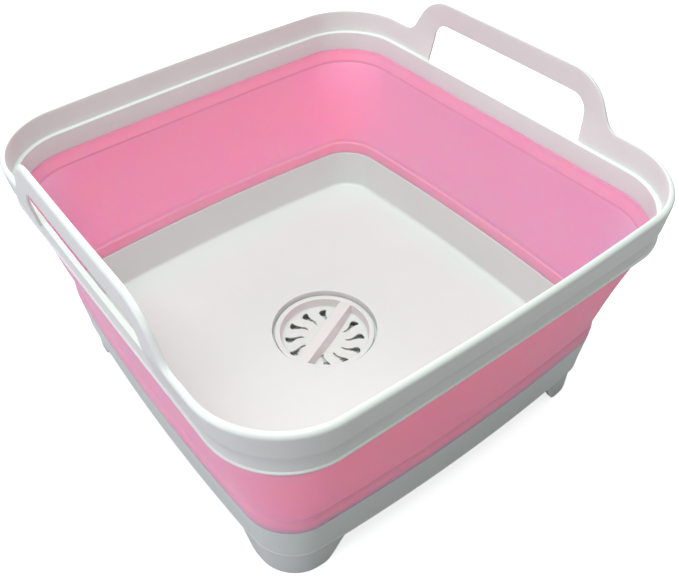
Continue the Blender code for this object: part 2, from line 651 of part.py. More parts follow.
def build_base():
    """The tray: drafted wall, flat floor, hollow corner feet and the drain well."""
    stations = base_stations()
    count = len(stations)
    places = [station for station, depth in stations]
    side_lead = FLANK_STEPS + 1 + (len(BASE_SIDE_SHARES) - 1) / 2
    skirt = TRAY_DRAFT + SKIRT_SETBACK
    skirt_inner = skirt + SKIRT_WALL
    sole_edge = skirt + FOOT_DRAFT + FOOT_SOLE_BEVEL
    pocket_end = skirt_inner + FOOT_POCKET_WIDTH
    web_end = pocket_end + FOOT_WEB_WALL
    bead_z = FOOT_HEIGHT + TRAY_BEAD_LIFT
    bead_inset = TRAY_DRAFT - TRAY_BEAD_PROUD
    inner_low = TRAY_TOP_WALL + TRAY_DRAFT - TRAY_EDGE_CHAMFER
    fillet_mid = inner_low + FLOOR_FILLET * (1 - math.cos(math.pi / 4))
    fillet_mid_z = FLOOR_Z + FLOOR_FILLET * (1 - math.sin(math.pi / 4))

    def level(distance, height):
        outline = inset(BASE_OUTLINE, distance)
        return [station_point(outline, place, height) for place in places]

    def well(radius, height):
        return circle_ring(radius, height, count, side_lead)

    rings = [
        level(TRAY_EDGE_CHAMFER, TRAY_TOP_Z),
        level(0.0, TRAY_TOP_Z - TRAY_EDGE_CHAMFER),
        level(TRAY_DRAFT, bead_z + TRAY_BEAD_HEIGHT + TRAY_BEAD_PROUD),
        level(bead_inset, bead_z + TRAY_BEAD_HEIGHT),
        level(bead_inset, bead_z),
        level(skirt, bead_z - TRAY_BEAD_PROUD),
        foot_ring(stations, skirt, skirt + FOOT_DRAFT, FOOT_HEIGHT + SKIRT_EDGE_BEVEL, FOOT_SOLE_BEVEL),
        foot_ring(stations, skirt + SKIRT_EDGE_BEVEL, sole_edge, FOOT_HEIGHT, 0.0),
        foot_ring(stations, skirt_inner, skirt_inner + FOOT_DRAFT, FOOT_HEIGHT, 0.0),
        pocket_ring(stations, skirt_inner),
        pocket_ring(stations, pocket_end),
        foot_ring(stations, pocket_end, pocket_end, FOOT_HEIGHT + FLOOR_LIFT / 2, 0.0),
        foot_ring(stations, web_end, web_end, FOOT_HEIGHT + FLOOR_LIFT / 2, 0.0),
        level(web_end + TRAY_EDGE_CHAMFER, FLOOR_UNDER_Z),
        well(WELL_R + WELL_WALL + WELL_RIM_CHAMFER, FLOOR_UNDER_Z),
        well(WELL_R + WELL_WALL, FLOOR_UNDER_Z - WELL_RIM_CHAMFER),
        well(WELL_R + WELL_WALL, WELL_LEDGE_Z - WELL_WALL),
        well(WELL_BORE_R + WELL_WALL, WELL_LEDGE_Z - 2 * WELL_WALL),
        well(WELL_BORE_R + WELL_WALL, WELL_FLOOR_Z + WELL_FLOOR_FILLET),
        well(WELL_BORE_R - WELL_FLOOR_FILLET + WELL_WALL, WELL_UNDER_Z),
        well(OUTLET_R + COLLAR_WALL, WELL_UNDER_Z),
        well(OUTLET_R + COLLAR_WALL, WELL_CLEARANCE),
        well(OUTLET_R, WELL_CLEARANCE),
        well(OUTLET_R, WELL_FLOOR_Z),
        well(WELL_BORE_R - WELL_FLOOR_FILLET, WELL_FLOOR_Z),
        well(WELL_BORE_R, WELL_FLOOR_Z + WELL_FLOOR_FILLET),
        well(WELL_BORE_R, WELL_LEDGE_Z),
        well(WELL_LEDGE_R, WELL_LEDGE_Z),
        well(WELL_R, FLOOR_Z - WELL_RIM_CHAMFER),
        well(WELL_R + WELL_RIM_CHAMFER, FLOOR_Z),
        level(inner_low + FLOOR_FILLET, FLOOR_Z),
        level(fillet_mid, fillet_mid_z),
        level(inner_low, FLOOR_Z + FLOOR_FILLET),
        level(TRAY_TOP_WALL, TRAY_TOP_Z - TRAY_EDGE_CHAMFER),
        level(TRAY_TOP_WALL - TRAY_EDGE_CHAMFER, TRAY_TOP_Z),
    ]
    finish_object("base_tray", closed_loft(rings), WHITE_PLASTIC)


def build_drain_seat():
    """The flanged outlet bush with its barb and spider, and the gasket under it."""
    gasket = [
        (OUTLET_R, GASKET_Z),
        (SEAT_FLANGE_R, GASKET_Z),
        (SEAT_FLANGE_R, GASKET_Z + GASKET_HEIGHT),
        (OUTLET_R, GASKET_Z + GASKET_HEIGHT),
    ]
    finish_object("outlet_gasket", turned_ring(gasket), CLEAR_RUBBER)
    barb_top = WELL_CLEARANCE - FIT_GAP
    barb_low = barb_top - SEAT_BARB_HEIGHT
    bush = [
        (SEAT_BORE_R, barb_low),
        (SEAT_TUBE_R - RUNNING_GAP, barb_low),
        (OUTLET_R + SEAT_BARB_PROUD, barb_top),
        (SEAT_TUBE_R, barb_top),
        (SEAT_TUBE_R, SEAT_Z),
        (SEAT_FLANGE_R, SEAT_Z),
        (SEAT_FLANGE_R, SEAT_Z + SEAT_FLANGE_HEIGHT),
        (SEAT_BORE_R, SEAT_Z + SEAT_FLANGE_HEIGHT),
    ]
    seat = finish_object("outlet_seat", turned_ring(bush), WHITE_PLASTIC)
    hub_top = SEAL_Z - STEM_COLLAR_HEIGHT - FIT_GAP
    hub = [(HUB_BORE_R, barb_top), (HUB_R, barb_top), (HUB_R, hub_top), (HUB_BORE_R, hub_top)]
    combine(seat, spider_tool(hub, barb_top, hub_top), "UNION")


def spider_tool(hub, low, high):
    """The hub that guides the stem, with ribs that reach into the bush's wall."""
    builder = turned_ring(hub)
    reach = SEAT_BORE_R + SEAT_TUBE_WALL / 2
    inner = (HUB_BORE_R + HUB_R) / 2
    tool = cutter_object("spider_hub", builder)
    ribs = bmesh.new()
    for rib in range(SPIDER_RIBS):
        angle = 2 * math.pi * (rib + 0.5) / SPIDER_RIBS
        along = Vector((math.cos(angle), math.sin(angle), 0))
        side = Vector((-along.y, along.x, 0)) * (SPIDER_RIB_WIDTH / 2)
        rib_low = Vector((0, 0, low + FIT_GAP))
        rib_high = Vector((0, 0, high - STEM_COLLAR_HEIGHT))
        near = along * inner
        far = along * reach
        corners = [near - side, far - side, far + side, near + side]
        lower = [ribs.verts.new(corner + rib_low) for corner in corners]
        upper = [ribs.verts.new(corner + rib_high) for corner in corners]
        ribs.faces.new(lower)
        ribs.faces.new(upper)
        for step in range(4):
            after = (step + 1) % 4
            ribs.faces.new((lower[step], lower[after], upper[after], upper[step]))
    rib_tool = cutter_object("spider_ribs", ribs)
    combine(tool, rib_tool, "UNION")
    return tool


def build_stopper():
    """The stopper: stem, sealing ring, disc that holds it, and retaining clip."""
    stem_low = WELL_CLEARANCE - SEAT_BARB_HEIGHT
    collar_low = DISC_Z - FIT_GAP - STEM_COLLAR_HEIGHT
    collar_r = STEM_R + STEM_COLLAR_PROUD
    stem_top = BASKET_DISH_Z + STEM_GRIP_LENGTH - FIT_GAP
    stem = [
        (STEM_R - RUNNING_GAP, stem_low),
        (STEM_R, stem_low + RUNNING_GAP),
        (STEM_R, collar_low),
        (collar_r, collar_low),
        (collar_r, collar_low + STEM_COLLAR_HEIGHT),
        (STEM_R, collar_low + STEM_COLLAR_HEIGHT),
        (STEM_R, stem_top - RUNNING_GAP),
        (STEM_R - RUNNING_GAP, stem_top),
    ]
    finish_object("stopper_stem", turned_solid(stem, TURNED_STEPS // 2), WHITE_PLASTIC, PLUG_CARRIER)
    seal = [
        (SEAL_BORE_R, SEAL_Z),
        (SEAL_R - SEAL_HEIGHT / 2, SEAL_Z),
        (SEAL_R, SEAL_Z + SEAL_HEIGHT / 2),
        (SEAL_R - SEAL_HEIGHT / 4, SEAL_Z + SEAL_HEIGHT),
        (SEAL_BORE_R, SEAL_Z + SEAL_HEIGHT),
    ]
    finish_object("stopper_seal", turned_ring(seal), CLEAR_RUBBER, PLUG_CARRIER)
    disc = [
        (STEM_R + FIT_GAP, DISC_Z),
        (SEAL_BORE_R - FIT_GAP, DISC_Z),
        (SEAL_BORE_R - FIT_GAP, DISC_PLATE_Z),
        (DISC_R, DISC_PLATE_Z),
        (DISC_R, DISC_PLATE_Z + DISC_PLATE_HEIGHT),
        (STEM_R + FIT_GAP, DISC_PLATE_Z + DISC_PLATE_HEIGHT),
    ]
    finish_object("stopper_disc", turned_ring(disc), WHITE_PLASTIC, PLUG_CARRIER)
    clip = [
        (STEM_R + FIT_GAP, CLIP_Z),
        (STEM_R + FIT_GAP + CLIP_WIDTH, CLIP_Z),
        (STEM_R + FIT_GAP + CLIP_WIDTH, CLIP_Z + CLIP_HEIGHT),
        (STEM_R + FIT_GAP, CLIP_Z + CLIP_HEIGHT),
    ]
    finish_object("stem_clip", turned_ring(clip, TURNED_STEPS // 2), STEEL, PLUG_CARRIER)


def slot_outline(angle):
    """One flame-shaped drain slot, its thin tail towards the middle."""
    left = []
    right = []
    run = SLOT_HEAD_R - SLOT_TAIL_R
    shares = zip(SLOT_LENGTH_SHARES, SLOT_WIDTH_SHARES, SLOT_SWAY_SHARES)
    for length_share, width_share, sway_share in shares:
        out = SLOT_TAIL_R + run * length_share
        left.append((out, SLOT_SWAY * sway_share + SLOT_HALF_WIDTH * width_share))
        right.append((out, SLOT_SWAY * sway_share - SLOT_HALF_WIDTH * width_share))
    tip = [(SLOT_HEAD_R, SLOT_SWAY * SLOT_SWAY_SHARES[-1] * 2)]
    points = []
    for out, aside in left + tip + right[::-1]:
        x = out * math.cos(angle) - aside * math.sin(angle)
        y = out * math.sin(angle) + aside * math.cos(angle)
        points.append(Vector((x, y, 0)))
    return points


def slot_cutter():
    """All drain slots as separate upright bars through the basket's disc."""
    builder = bmesh.new()
    low = Vector((0, 0, BASKET_DISC_Z - FIT_GAP))
    high = Vector((0, 0, BASKET_DISH_Z + FIT_GAP))
    for slot in range(SLOT_COUNT):
        angle = math.radians(SLOT_PHASE_DEG) + 2 * math.pi * slot / SLOT_COUNT
        outline = slot_outline(angle)
        lower = [builder.verts.new(point + low) for point in outline]
        upper = [builder.verts.new(point + high) for point in outline]
        builder.faces.new(lower)
        builder.faces.new(upper)
        count = len(outline)
        for step in range(count):
            after = (step + 1) % count
            builder.faces.new((lower[step], lower[after], upper[after], upper[step]))
    return cutter_object("slot_cutter", builder, BASKET_CARRIER)


def grip_tool():
    """The grip bar across the basket, drafted, with its ends in the ring's wall."""
    angle = math.radians(GRIP_ANGLE_DEG)
    along = Vector((math.cos(angle), math.sin(angle), 0))
    side = Vector((-along.y, along.x, 0))
    reach = BASKET_RING_BORE_R + BASKET_CUP_WALL / 2
    rings = []
    low_z = BASKET_DISC_Z + BASKET_DISC_WALL / 2
    high_z = BASKET_TOP_Z - GRIP_DROP
    for half, height in ((GRIP_WIDTH / 2 + GRIP_DRAFT, low_z), (GRIP_WIDTH / 2, high_z)):
        lift = Vector((0, 0, height))
        ring = []
        for end, edge in ((-1, -1), (1, -1), (1, 1), (-1, 1)):
            ring.append(along * (end * reach) + side * (edge * half) + lift)
        rings.append(ring)
    return cutter_object("grip_tool", capped_loft(rings), BASKET_CARRIER)


def stem_socket_cutter():
    """The blind hole in the grip bar that the stem's upper end turns in."""
    top = BASKET_DISH_Z + STEM_GRIP_LENGTH
    hole = [(HUB_BORE_R, BASKET_DISC_Z - FIT_GAP), (HUB_BORE_R, top)]
    return cutter_object("stem_socket", turned_solid(hole, TURNED_STEPS // 2), BASKET_CARRIER)


def build_basket():
    """The strainer basket: rim ring, recessed slotted disc and grip bar."""
    cup_r = BASKET_CUP_R - BASKET_CUP_DRAFT
    profile = [
        (BASKET_RING_BORE_R, BASKET_TOP_Z - BASKET_RING_CHAMFER),
        (BASKET_RING_BORE_R + BASKET_RING_CHAMFER, BASKET_TOP_Z),
        (BASKET_R - BASKET_RING_CHAMFER, BASKET_TOP_Z),
        (BASKET_R, BASKET_TOP_Z - BASKET_RING_CHAMFER),
        (BASKET_R, BASKET_RING_Z),
        (BASKET_CUP_R, BASKET_RING_Z),
        (cup_r, BASKET_DISC_Z + BASKET_RING_CHAMFER),
        (cup_r - BASKET_RING_CHAMFER, BASKET_DISC_Z),
    ]
    wall_foot = BASKET_RING_BORE_R - BASKET_CUP_DRAFT
    bowl = [(BASKET_RING_CHAMFER, BASKET_DISC_Z)]
    inside = [(BASKET_RING_CHAMFER, BASKET_DISH_Z), (wall_foot, BASKET_DISH_Z)]
    section = profile + bowl + inside
    basket = finish_object("strainer_basket", turned_ring(section), WHITE_PLASTIC, BASKET_CARRIER)
    combine(basket, grip_tool(), "UNION")
    combine(basket, slot_cutter(), "DIFFERENCE")
    combine(basket, stem_socket_cutter(), "DIFFERENCE")


build_base()
build_lower_cuff()
build_fold_panel()
build_upper_cuff()
build_rim()
build_drain_seat()
build_stopper()
build_basket()
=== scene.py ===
import math
from collections import namedtuple

import bmesh
import bpy
from mathutils import Matrix, Vector


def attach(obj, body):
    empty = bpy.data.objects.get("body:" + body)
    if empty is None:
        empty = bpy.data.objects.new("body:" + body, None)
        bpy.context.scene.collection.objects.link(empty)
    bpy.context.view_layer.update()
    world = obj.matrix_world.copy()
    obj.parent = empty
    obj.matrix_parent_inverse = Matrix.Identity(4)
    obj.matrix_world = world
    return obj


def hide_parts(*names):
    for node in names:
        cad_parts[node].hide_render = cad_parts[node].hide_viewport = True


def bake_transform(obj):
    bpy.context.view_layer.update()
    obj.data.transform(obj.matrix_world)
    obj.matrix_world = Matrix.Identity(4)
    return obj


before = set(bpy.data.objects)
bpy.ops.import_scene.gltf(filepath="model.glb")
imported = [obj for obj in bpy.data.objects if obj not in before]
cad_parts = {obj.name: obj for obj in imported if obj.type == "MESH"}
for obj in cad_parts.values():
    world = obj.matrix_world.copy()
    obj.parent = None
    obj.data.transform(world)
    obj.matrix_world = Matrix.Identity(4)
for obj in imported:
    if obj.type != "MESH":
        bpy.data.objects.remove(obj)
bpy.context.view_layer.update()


# ---------------------------------------------------------------- Camera
# A product photographer's standard lens, held high over the basin's front
# corner, so that the picture shows the floor and drain, both front faces and
# the far handle. The lens is shifted a little because the picture is cropped.
azimuth = math.radians(55.48)
elevation = math.radians(44.16)
roll = math.radians(-2.66)
PICTURE_SIZE = (679, 577)
FOCAL_PIXELS = 782.71
LENS_CENTRE = (303.67, 287.45)
SENSOR_WIDTH = 36
AIM_POINT = Vector((0, -0.001, 0.139))
EYE_BACK = 0.46872
EYE_RIGHT = -0.01243
EYE_UP = -0.05171
level_back = Vector((math.sin(azimuth), -math.cos(azimuth), 0))
back = level_back * math.cos(elevation) + Vector((0, 0, math.sin(elevation)))
right = Vector((math.cos(azimuth), math.sin(azimuth), 0))
up = back.cross(right)
eye = back * EYE_BACK + right * EYE_RIGHT + up * EYE_UP + AIM_POINT
rolled_right = right * math.cos(roll) + up * math.sin(roll)
rolled_up = up * math.cos(roll) - right * math.sin(roll)
camera_turn = Matrix((rolled_right, rolled_up, back)).transposed().to_4x4()
camera_turn.translation = eye
camera_data = bpy.data.cameras.new("photo_camera")
camera_data.sensor_width = SENSOR_WIDTH
camera_data.lens = FOCAL_PIXELS * SENSOR_WIDTH / PICTURE_SIZE[0]
camera_data.shift_x = (PICTURE_SIZE[0] / 2 - LENS_CENTRE[0]) / PICTURE_SIZE[0]
camera_data.shift_y = (LENS_CENTRE[1] - PICTURE_SIZE[1] / 2) / PICTURE_SIZE[0]
camera_data.clip_start = 0.01
camera = bpy.data.objects.new("photo_camera", camera_data)
camera.matrix_world = camera_turn
bpy.context.scene.collection.objects.link(camera)
bpy.context.scene.camera = camera
bpy.context.scene.view_settings.view_transform = "Standard"


# ---------------------------------------------------------------- Studio
# A white paper sweep under a wide overhead softbox, with a second one low
# on the left and a third behind the far corner, whose light passes through
# the pink wall. The right gets no lamp, so its outer faces fall to grey.
def linear(hex_colour):
    """An sRGB hex colour as linear light."""
    channels = []
    for start in (1, 3, 5):
        value = int(hex_colour[start:start + 2], 16) / 255
        dark = value <= 0.04045
        channels.append(value / 12.92 if dark else ((value + 0.055) / 1.055) ** 2.4)
    return (*channels, 1.0)


def add_node(tree, kind, settings, inputs):
    """Add a node, set its properties, and set its inputs or link sockets to them."""
    node = tree.nodes.new(kind)
    for name, value in settings.items():
        setattr(node, name, value)
    for name, value in inputs.items():
        if isinstance(value, bpy.types.NodeSocket):
            tree.links.new(value, node.inputs[name])
        else:
            node.inputs[name].default_value = value
    return node


LAMP_AIM = Vector((0, 0, 0.1))


def softbox(name, place, size, power, hex_colour):
    """A square area lamp that looks at the middle of the basin."""
    lamp = bpy.data.lights.new(name, "AREA")
    lamp.shape = "SQUARE"
    lamp.size = size
    lamp.energy = power
    lamp.color = linear(hex_colour)[:3]
    item = bpy.data.objects.new(name, lamp)
    item.location = place
    item.rotation_euler = (LAMP_AIM - Vector(place)).to_track_quat("-Z", "Y").to_euler()
    bpy.context.scene.collection.objects.link(item)


softbox("overhead_softbox", (0.04, -0.22, 1.34), 0.9, 14.4, "#F0FFF7")
softbox("left_softbox", (-0.06, -1.35, 0.30), 0.8, 5.8, "#F7EDFF")
softbox("back_softbox", (-0.95, 0.63, 0.54), 0.7, 9.4, "#FFFFFF")

# The air lights the basin dimly and shows white to the lens and in the gloss
AIR_FILL = 0.28
world = bpy.data.worlds.new("studio_air")
world.use_nodes = True
world.node_tree.nodes.clear()
seen = add_node(world.node_tree, "ShaderNodeLightPath", {}, {})
either = add_node(world.node_tree, "ShaderNodeMath", {"operation": "MAXIMUM"},
                  {0: seen.outputs["Is Camera Ray"], 1: seen.outputs["Is Glossy Ray"]})
any_seen = add_node(world.node_tree, "ShaderNodeMath", {"operation": "MAXIMUM"},
                    {0: either.outputs[0], 1: seen.outputs["Is Transmission Ray"]})
fill_air = add_node(world.node_tree, "ShaderNodeBackground", {},
                    {"Color": linear("#FFFBFA"), "Strength": AIR_FILL})
white_air = add_node(world.node_tree, "ShaderNodeBackground", {},
                     {"Color": linear("#FFFFFF"), "Strength": 1.0})
air = add_node(world.node_tree, "ShaderNodeMixShader", {},
               {0: any_seen.outputs[0], 1: fill_air.outputs[0], 2: white_air.outputs[0]})
add_node(world.node_tree, "ShaderNodeOutputWorld", {}, {"Surface": air.outputs[0]})
bpy.context.scene.world = world

# White paper: dull and even, lifted to white where the lens sees it, less the shadow
PAPER_HALF = 6.0
PAPER_LIFT = 0.74
PAPER_DROP = 0.0002
paper = bpy.data.materials.new("matt_white_paper")
paper.use_nodes = True
paper.node_tree.nodes.clear()
paper_spot = add_node(paper.node_tree, "ShaderNodeTexCoord", {}, {})
paper_fibre = add_node(paper.node_tree, "ShaderNodeTexNoise", {},
                       {"Vector": paper_spot.outputs["Object"], "Scale": 900.0, "Detail": 3.0})
paper_bump = add_node(paper.node_tree, "ShaderNodeBump", {},
                      {"Strength": 0.05, "Distance": 0.0001, "Height": paper_fibre.outputs["Fac"]})
paper_ray = add_node(paper.node_tree, "ShaderNodeLightPath", {}, {})
paper_dull = add_node(paper.node_tree, "ShaderNodeBsdfDiffuse", {},
                      {"Color": linear("#C2C2C4"), "Normal": paper_bump.outputs[0]})
paper_seen = add_node(paper.node_tree, "ShaderNodeBsdfDiffuse", {}, {"Color": linear("#E4E4E4")})
paper_lift = add_node(paper.node_tree, "ShaderNodeEmission", {},
                      {"Color": linear("#FFFFFF"), "Strength": PAPER_LIFT})
paper_white = add_node(paper.node_tree, "ShaderNodeAddShader", {},
                       {0: paper_seen.outputs[0], 1: paper_lift.outputs[0]})
paper_mix = add_node(paper.node_tree, "ShaderNodeMixShader", {},
                     {0: paper_ray.outputs["Is Camera Ray"], 1: paper_dull.outputs[0],
                      2: paper_white.outputs[0]})
add_node(paper.node_tree, "ShaderNodeOutputMaterial", {}, {"Surface": paper_mix.outputs[0]})
paper_mesh = bpy.data.meshes.new("paper_sweep")
paper_corners = [(PAPER_HALF * x, PAPER_HALF * y, 0)
                 for x, y in ((-1, -1), (1, -1), (1, 1), (-1, 1))]
paper_mesh.from_pydata(paper_corners, [], [(0, 1, 2, 3)])
paper_sweep = bpy.data.objects.new("paper_sweep", paper_mesh)
paper_mesh.materials.append(paper)
paper_sweep.location = (0, 0, -PAPER_DROP)
bpy.context.scene.collection.objects.link(paper_sweep)


# ---------------------------------------------------------------- Base tray
# The rigid lower moulding: a shallow drafted tray with a flat floor, a bead
# round its foot, four hollow corner feet and a stepped well for the drain.
# It is injection-moulded in white polypropylene, in one shot.
MM = 0.001
Outline = namedtuple("Outline", "half_x half_y corner_r bow_x bow_y")
TRAY_OUTLINE = Outline(135.9 * MM, 134.2 * MM, 25.5 * MM, 6 * MM, 5.6 * MM)
TRAY_TOP_Z = 56.2 * MM
FLOOR_Z = 26.6 * MM
FLOOR_UNDER_Z = 24.2 * MM
FLOOR_FILLET_R = 2.9 * MM
# Depths inside the tray's outline, of its outside from the top down, then its inside
LAP_DEPTH = 0.5 * MM
LAP_FOOT_Z = 54.5 * MM
WALL_TOP_DEPTH = 0.1 * MM
WALL_TOP_Z = 54.35 * MM
WALL_FOOT_DEPTH = 2.62 * MM
BEAD_TOP_Z = 26.5 * MM
BEAD_BROW = 0.5 * MM
BEAD_HEIGHT = 2.1 * MM
BEAD_UNDERCUT = 2.4 * MM
BEAD_DEPTH = 2.38 * MM
BEAD_FOOT_DEPTH = 2.5 * MM
INNER_FOOT_DEPTH = 5.45 * MM
INNER_TOP_DEPTH = 2.9 * MM
# The hollow corner feet
FOOT_HEIGHT = 23.2 * MM
FOOT_DEPTH = 4.6 * MM
FOOT_DRAFT = 0.4 * MM
FOOT_WALL = 3.1 * MM
FOOT_WEB_DEPTH = 16.7 * MM
FOOT_WEB_WALL = 2.2 * MM
FOOT_WEB_RISE = 0.5 * MM
ARCH_RIM_WALL = 0.8 * MM
FLOOR_EDGE_DEPTH = 19.3 * MM
FOOT_FLAT = 5 * MM
FOOT_FLANK = 19 * MM
CORNER_STEPS = 18
FLANK_STEPS = 10
ARCH_STEPS = 6
SHELL_ARC_STEPS = 5
# The drain well
WELL_R = 36.8 * MM
WELL_BORE_R = 34.4 * MM
WELL_WALL = 2.2 * MM
WELL_LEDGE_Z = 19.9 * MM
WELL_FLOOR_Z = 6.6 * MM
WELL_UNDER_Z = 4.4 * MM
WELL_FILLET_R = 2.2 * MM
WELL_APRON = 3 * MM
WELL_MARGIN = 2.5 * MM
WELL_BLEND = 0.9 * MM
OUTLET_R = 20.8 * MM
OUTLET_COLLAR = 2.4 * MM
OUTLET_UNDER_Z = 3.2 * MM


def inset(outline, distance):
    """The parallel outline a given distance inside this one."""
    return outline._replace(half_x=outline.half_x - distance, half_y=outline.half_y - distance,
                            corner_r=outline.corner_r - distance)


def between(first, last, share, swell=0.0):
    """An outline part of the way from one to another, with rounder corners."""
    mixed = Outline(*[a + (b - a) * share for a, b in zip(first, last)])
    return mixed._replace(corner_r=mixed.corner_r + swell)


def straight_half(outline, quarter):
    """Half the length of a side between its two corners."""
    box = (outline.half_x - outline.bow_x, outline.half_y - outline.bow_y)
    return box[(quarter + 1) % 2] - outline.corner_r


def outline_point(outline, station, height):
    """A point of a bowed outline: a station is (quarter, on its corner, share of it)."""
    quarter, on_corner, share = station
    box = (outline.half_x - outline.bow_x, outline.half_y - outline.bow_y)
    out_half = box[quarter % 2]
    along_half = box[(quarter + 1) % 2]
    out = out_half
    along = share * (along_half - outline.corner_r)
    if on_corner:
        angle = share * math.pi / 2
        out = out_half - outline.corner_r * (1 - math.cos(angle))
        along = along_half - outline.corner_r * (1 - math.sin(angle))
    turn = quarter * math.pi / 2
    x = out * math.cos(turn) - along * math.sin(turn)
    y = out * math.sin(turn) + along * math.cos(turn)
    fade_x = max(0.0, 1 - (y / box[1]) ** 2) * (abs(x) / box[0]) ** 4
    fade_y = max(0.0, 1 - (x / box[0]) ** 2) * (abs(y) / box[1]) ** 4
    return Vector((x + math.copysign(outline.bow_x * fade_x, x),
                   y + math.copysign(outline.bow_y * fade_y, y), height))


# Half the sharpest corner reckoned with, and how much of a side one arc may take
SMALLEST_HALF_TURN = 0.05
REACH_SHARE = 0.48


def softened(corners, steps=4):
    """A closed section of (across, height, radius) with each corner turned to an arc."""
    points = []
    for index, (across, height, radius) in enumerate(corners):
        here = Vector((across, height))
        if not radius:
            points.append(here)
            continue
        before = Vector(corners[index - 1][:2]) - here
        after = Vector(corners[(index + 1) % len(corners)][:2]) - here
        half_turn = max(before.angle(after) / 2, SMALLEST_HALF_TURN)
        reach = min(radius / math.tan(half_turn), before.length * REACH_SHARE,
                    after.length * REACH_SHARE)
        start = here + before.normalized() * reach
        end = here + after.normalized() * reach
        for step in range(steps + 1):
            share = step / steps
            points.append(start * (1 - share) ** 2 + here * (2 * share * (1 - share))
                          + end * share ** 2)
    return points


def ring_body(name, columns, material, sharp_degrees=38):
    """A ring-shaped body from closed columns of points that stand side by side round it."""
    builder = bmesh.new()
    rows = [[builder.verts.new(point) for point in column] for column in columns]
    count = len(rows[0])
    for row, following in zip(rows, rows[1:] + rows[:1]):
        for step in range(count):
            after = (step + 1) % count
            builder.faces.new((row[step], row[after], following[after], following[step]))
    return finished_piece(name, builder, material, sharp_degrees)


def finished_piece(name, builder, material, sharp_degrees=38):
    """An object at the origin from a built mesh, with outward faces and soft shading."""
    bmesh.ops.recalc_face_normals(builder, faces=builder.faces)
    mesh = bpy.data.meshes.new(name)
    builder.to_mesh(mesh)
    builder.free()
    mesh.shade_smooth()
    mesh.set_sharp_from_angle(angle=math.radians(sharp_degrees))
    mesh.materials.append(material)
    piece = bpy.data.objects.new(name, mesh)
    bpy.context.scene.collection.objects.link(piece)
    return piece


# Injection-moulded polypropylene, lightly spark-eroded mould: a soft even
# satin with slow cloudy flow tone; the grain is drawn coarser than it is, to show
def moulded_white(name, light, dark, dullness, grain_mm, grain_strength, depth=0.06):
    """White polypropylene off a mould.

    light and dark are the ends of its tone and dullness those of its
    roughness; depth is how much of the light sinks into it.
    """
    material = bpy.data.materials.new(name)
    material.use_nodes = True
    tree = material.node_tree
    shader = tree.nodes["Principled BSDF"]
    spot = add_node(tree, "ShaderNodeTexCoord", {}, {})
    flow = add_node(tree, "ShaderNodeTexNoise", {},
                    {"Vector": spot.outputs["Object"], "Scale": 1 / (45 * MM), "Detail": 3.0,
                     "Distortion": 0.6})
    tone = add_node(tree, "ShaderNodeMix", {"data_type": "RGBA"},
                    {0: flow.outputs["Fac"], 6: linear(dark), 7: linear(light)})
    wear = add_node(tree, "ShaderNodeTexNoise", {},
                    {"Vector": spot.outputs["Object"], "Scale": 1 / (20 * MM), "Detail": 2.0,
                     "Roughness": 0.5})
    gloss = add_node(tree, "ShaderNodeMapRange", {},
                     {"Value": wear.outputs["Fac"], "From Min": 0.15, "From Max": 0.85,
                      "To Min": dullness[0], "To Max": dullness[1]})
    grain = add_node(tree, "ShaderNodeTexNoise", {},
                     {"Vector": spot.outputs["Object"], "Scale": 1 / (grain_mm * MM),
                      "Detail": 2.0})
    relief = add_node(tree, "ShaderNodeBump", {},
                      {"Strength": grain_strength, "Distance": 0.04 * MM,
                       "Height": grain.outputs["Fac"]})
    tree.links.new(tone.outputs[2], shader.inputs["Base Color"])
    tree.links.new(gloss.outputs[0], shader.inputs["Roughness"])
    tree.links.new(relief.outputs[0], shader.inputs["Normal"])
    shader.inputs["IOR"].default_value = 1.49
    shader.inputs["Subsurface Weight"].default_value = depth
    shader.inputs["Subsurface Radius"].default_value = (1.0, 0.9, 0.8)
    shader.inputs["Subsurface Scale"].default_value = 1.2 * MM
    return material


TRAY_WHITE = moulded_white("satin_moulded_polypropylene", "#DDE3E1", "#D8DFDD",
                           (0.3, 0.38), 1.2, 0.05)


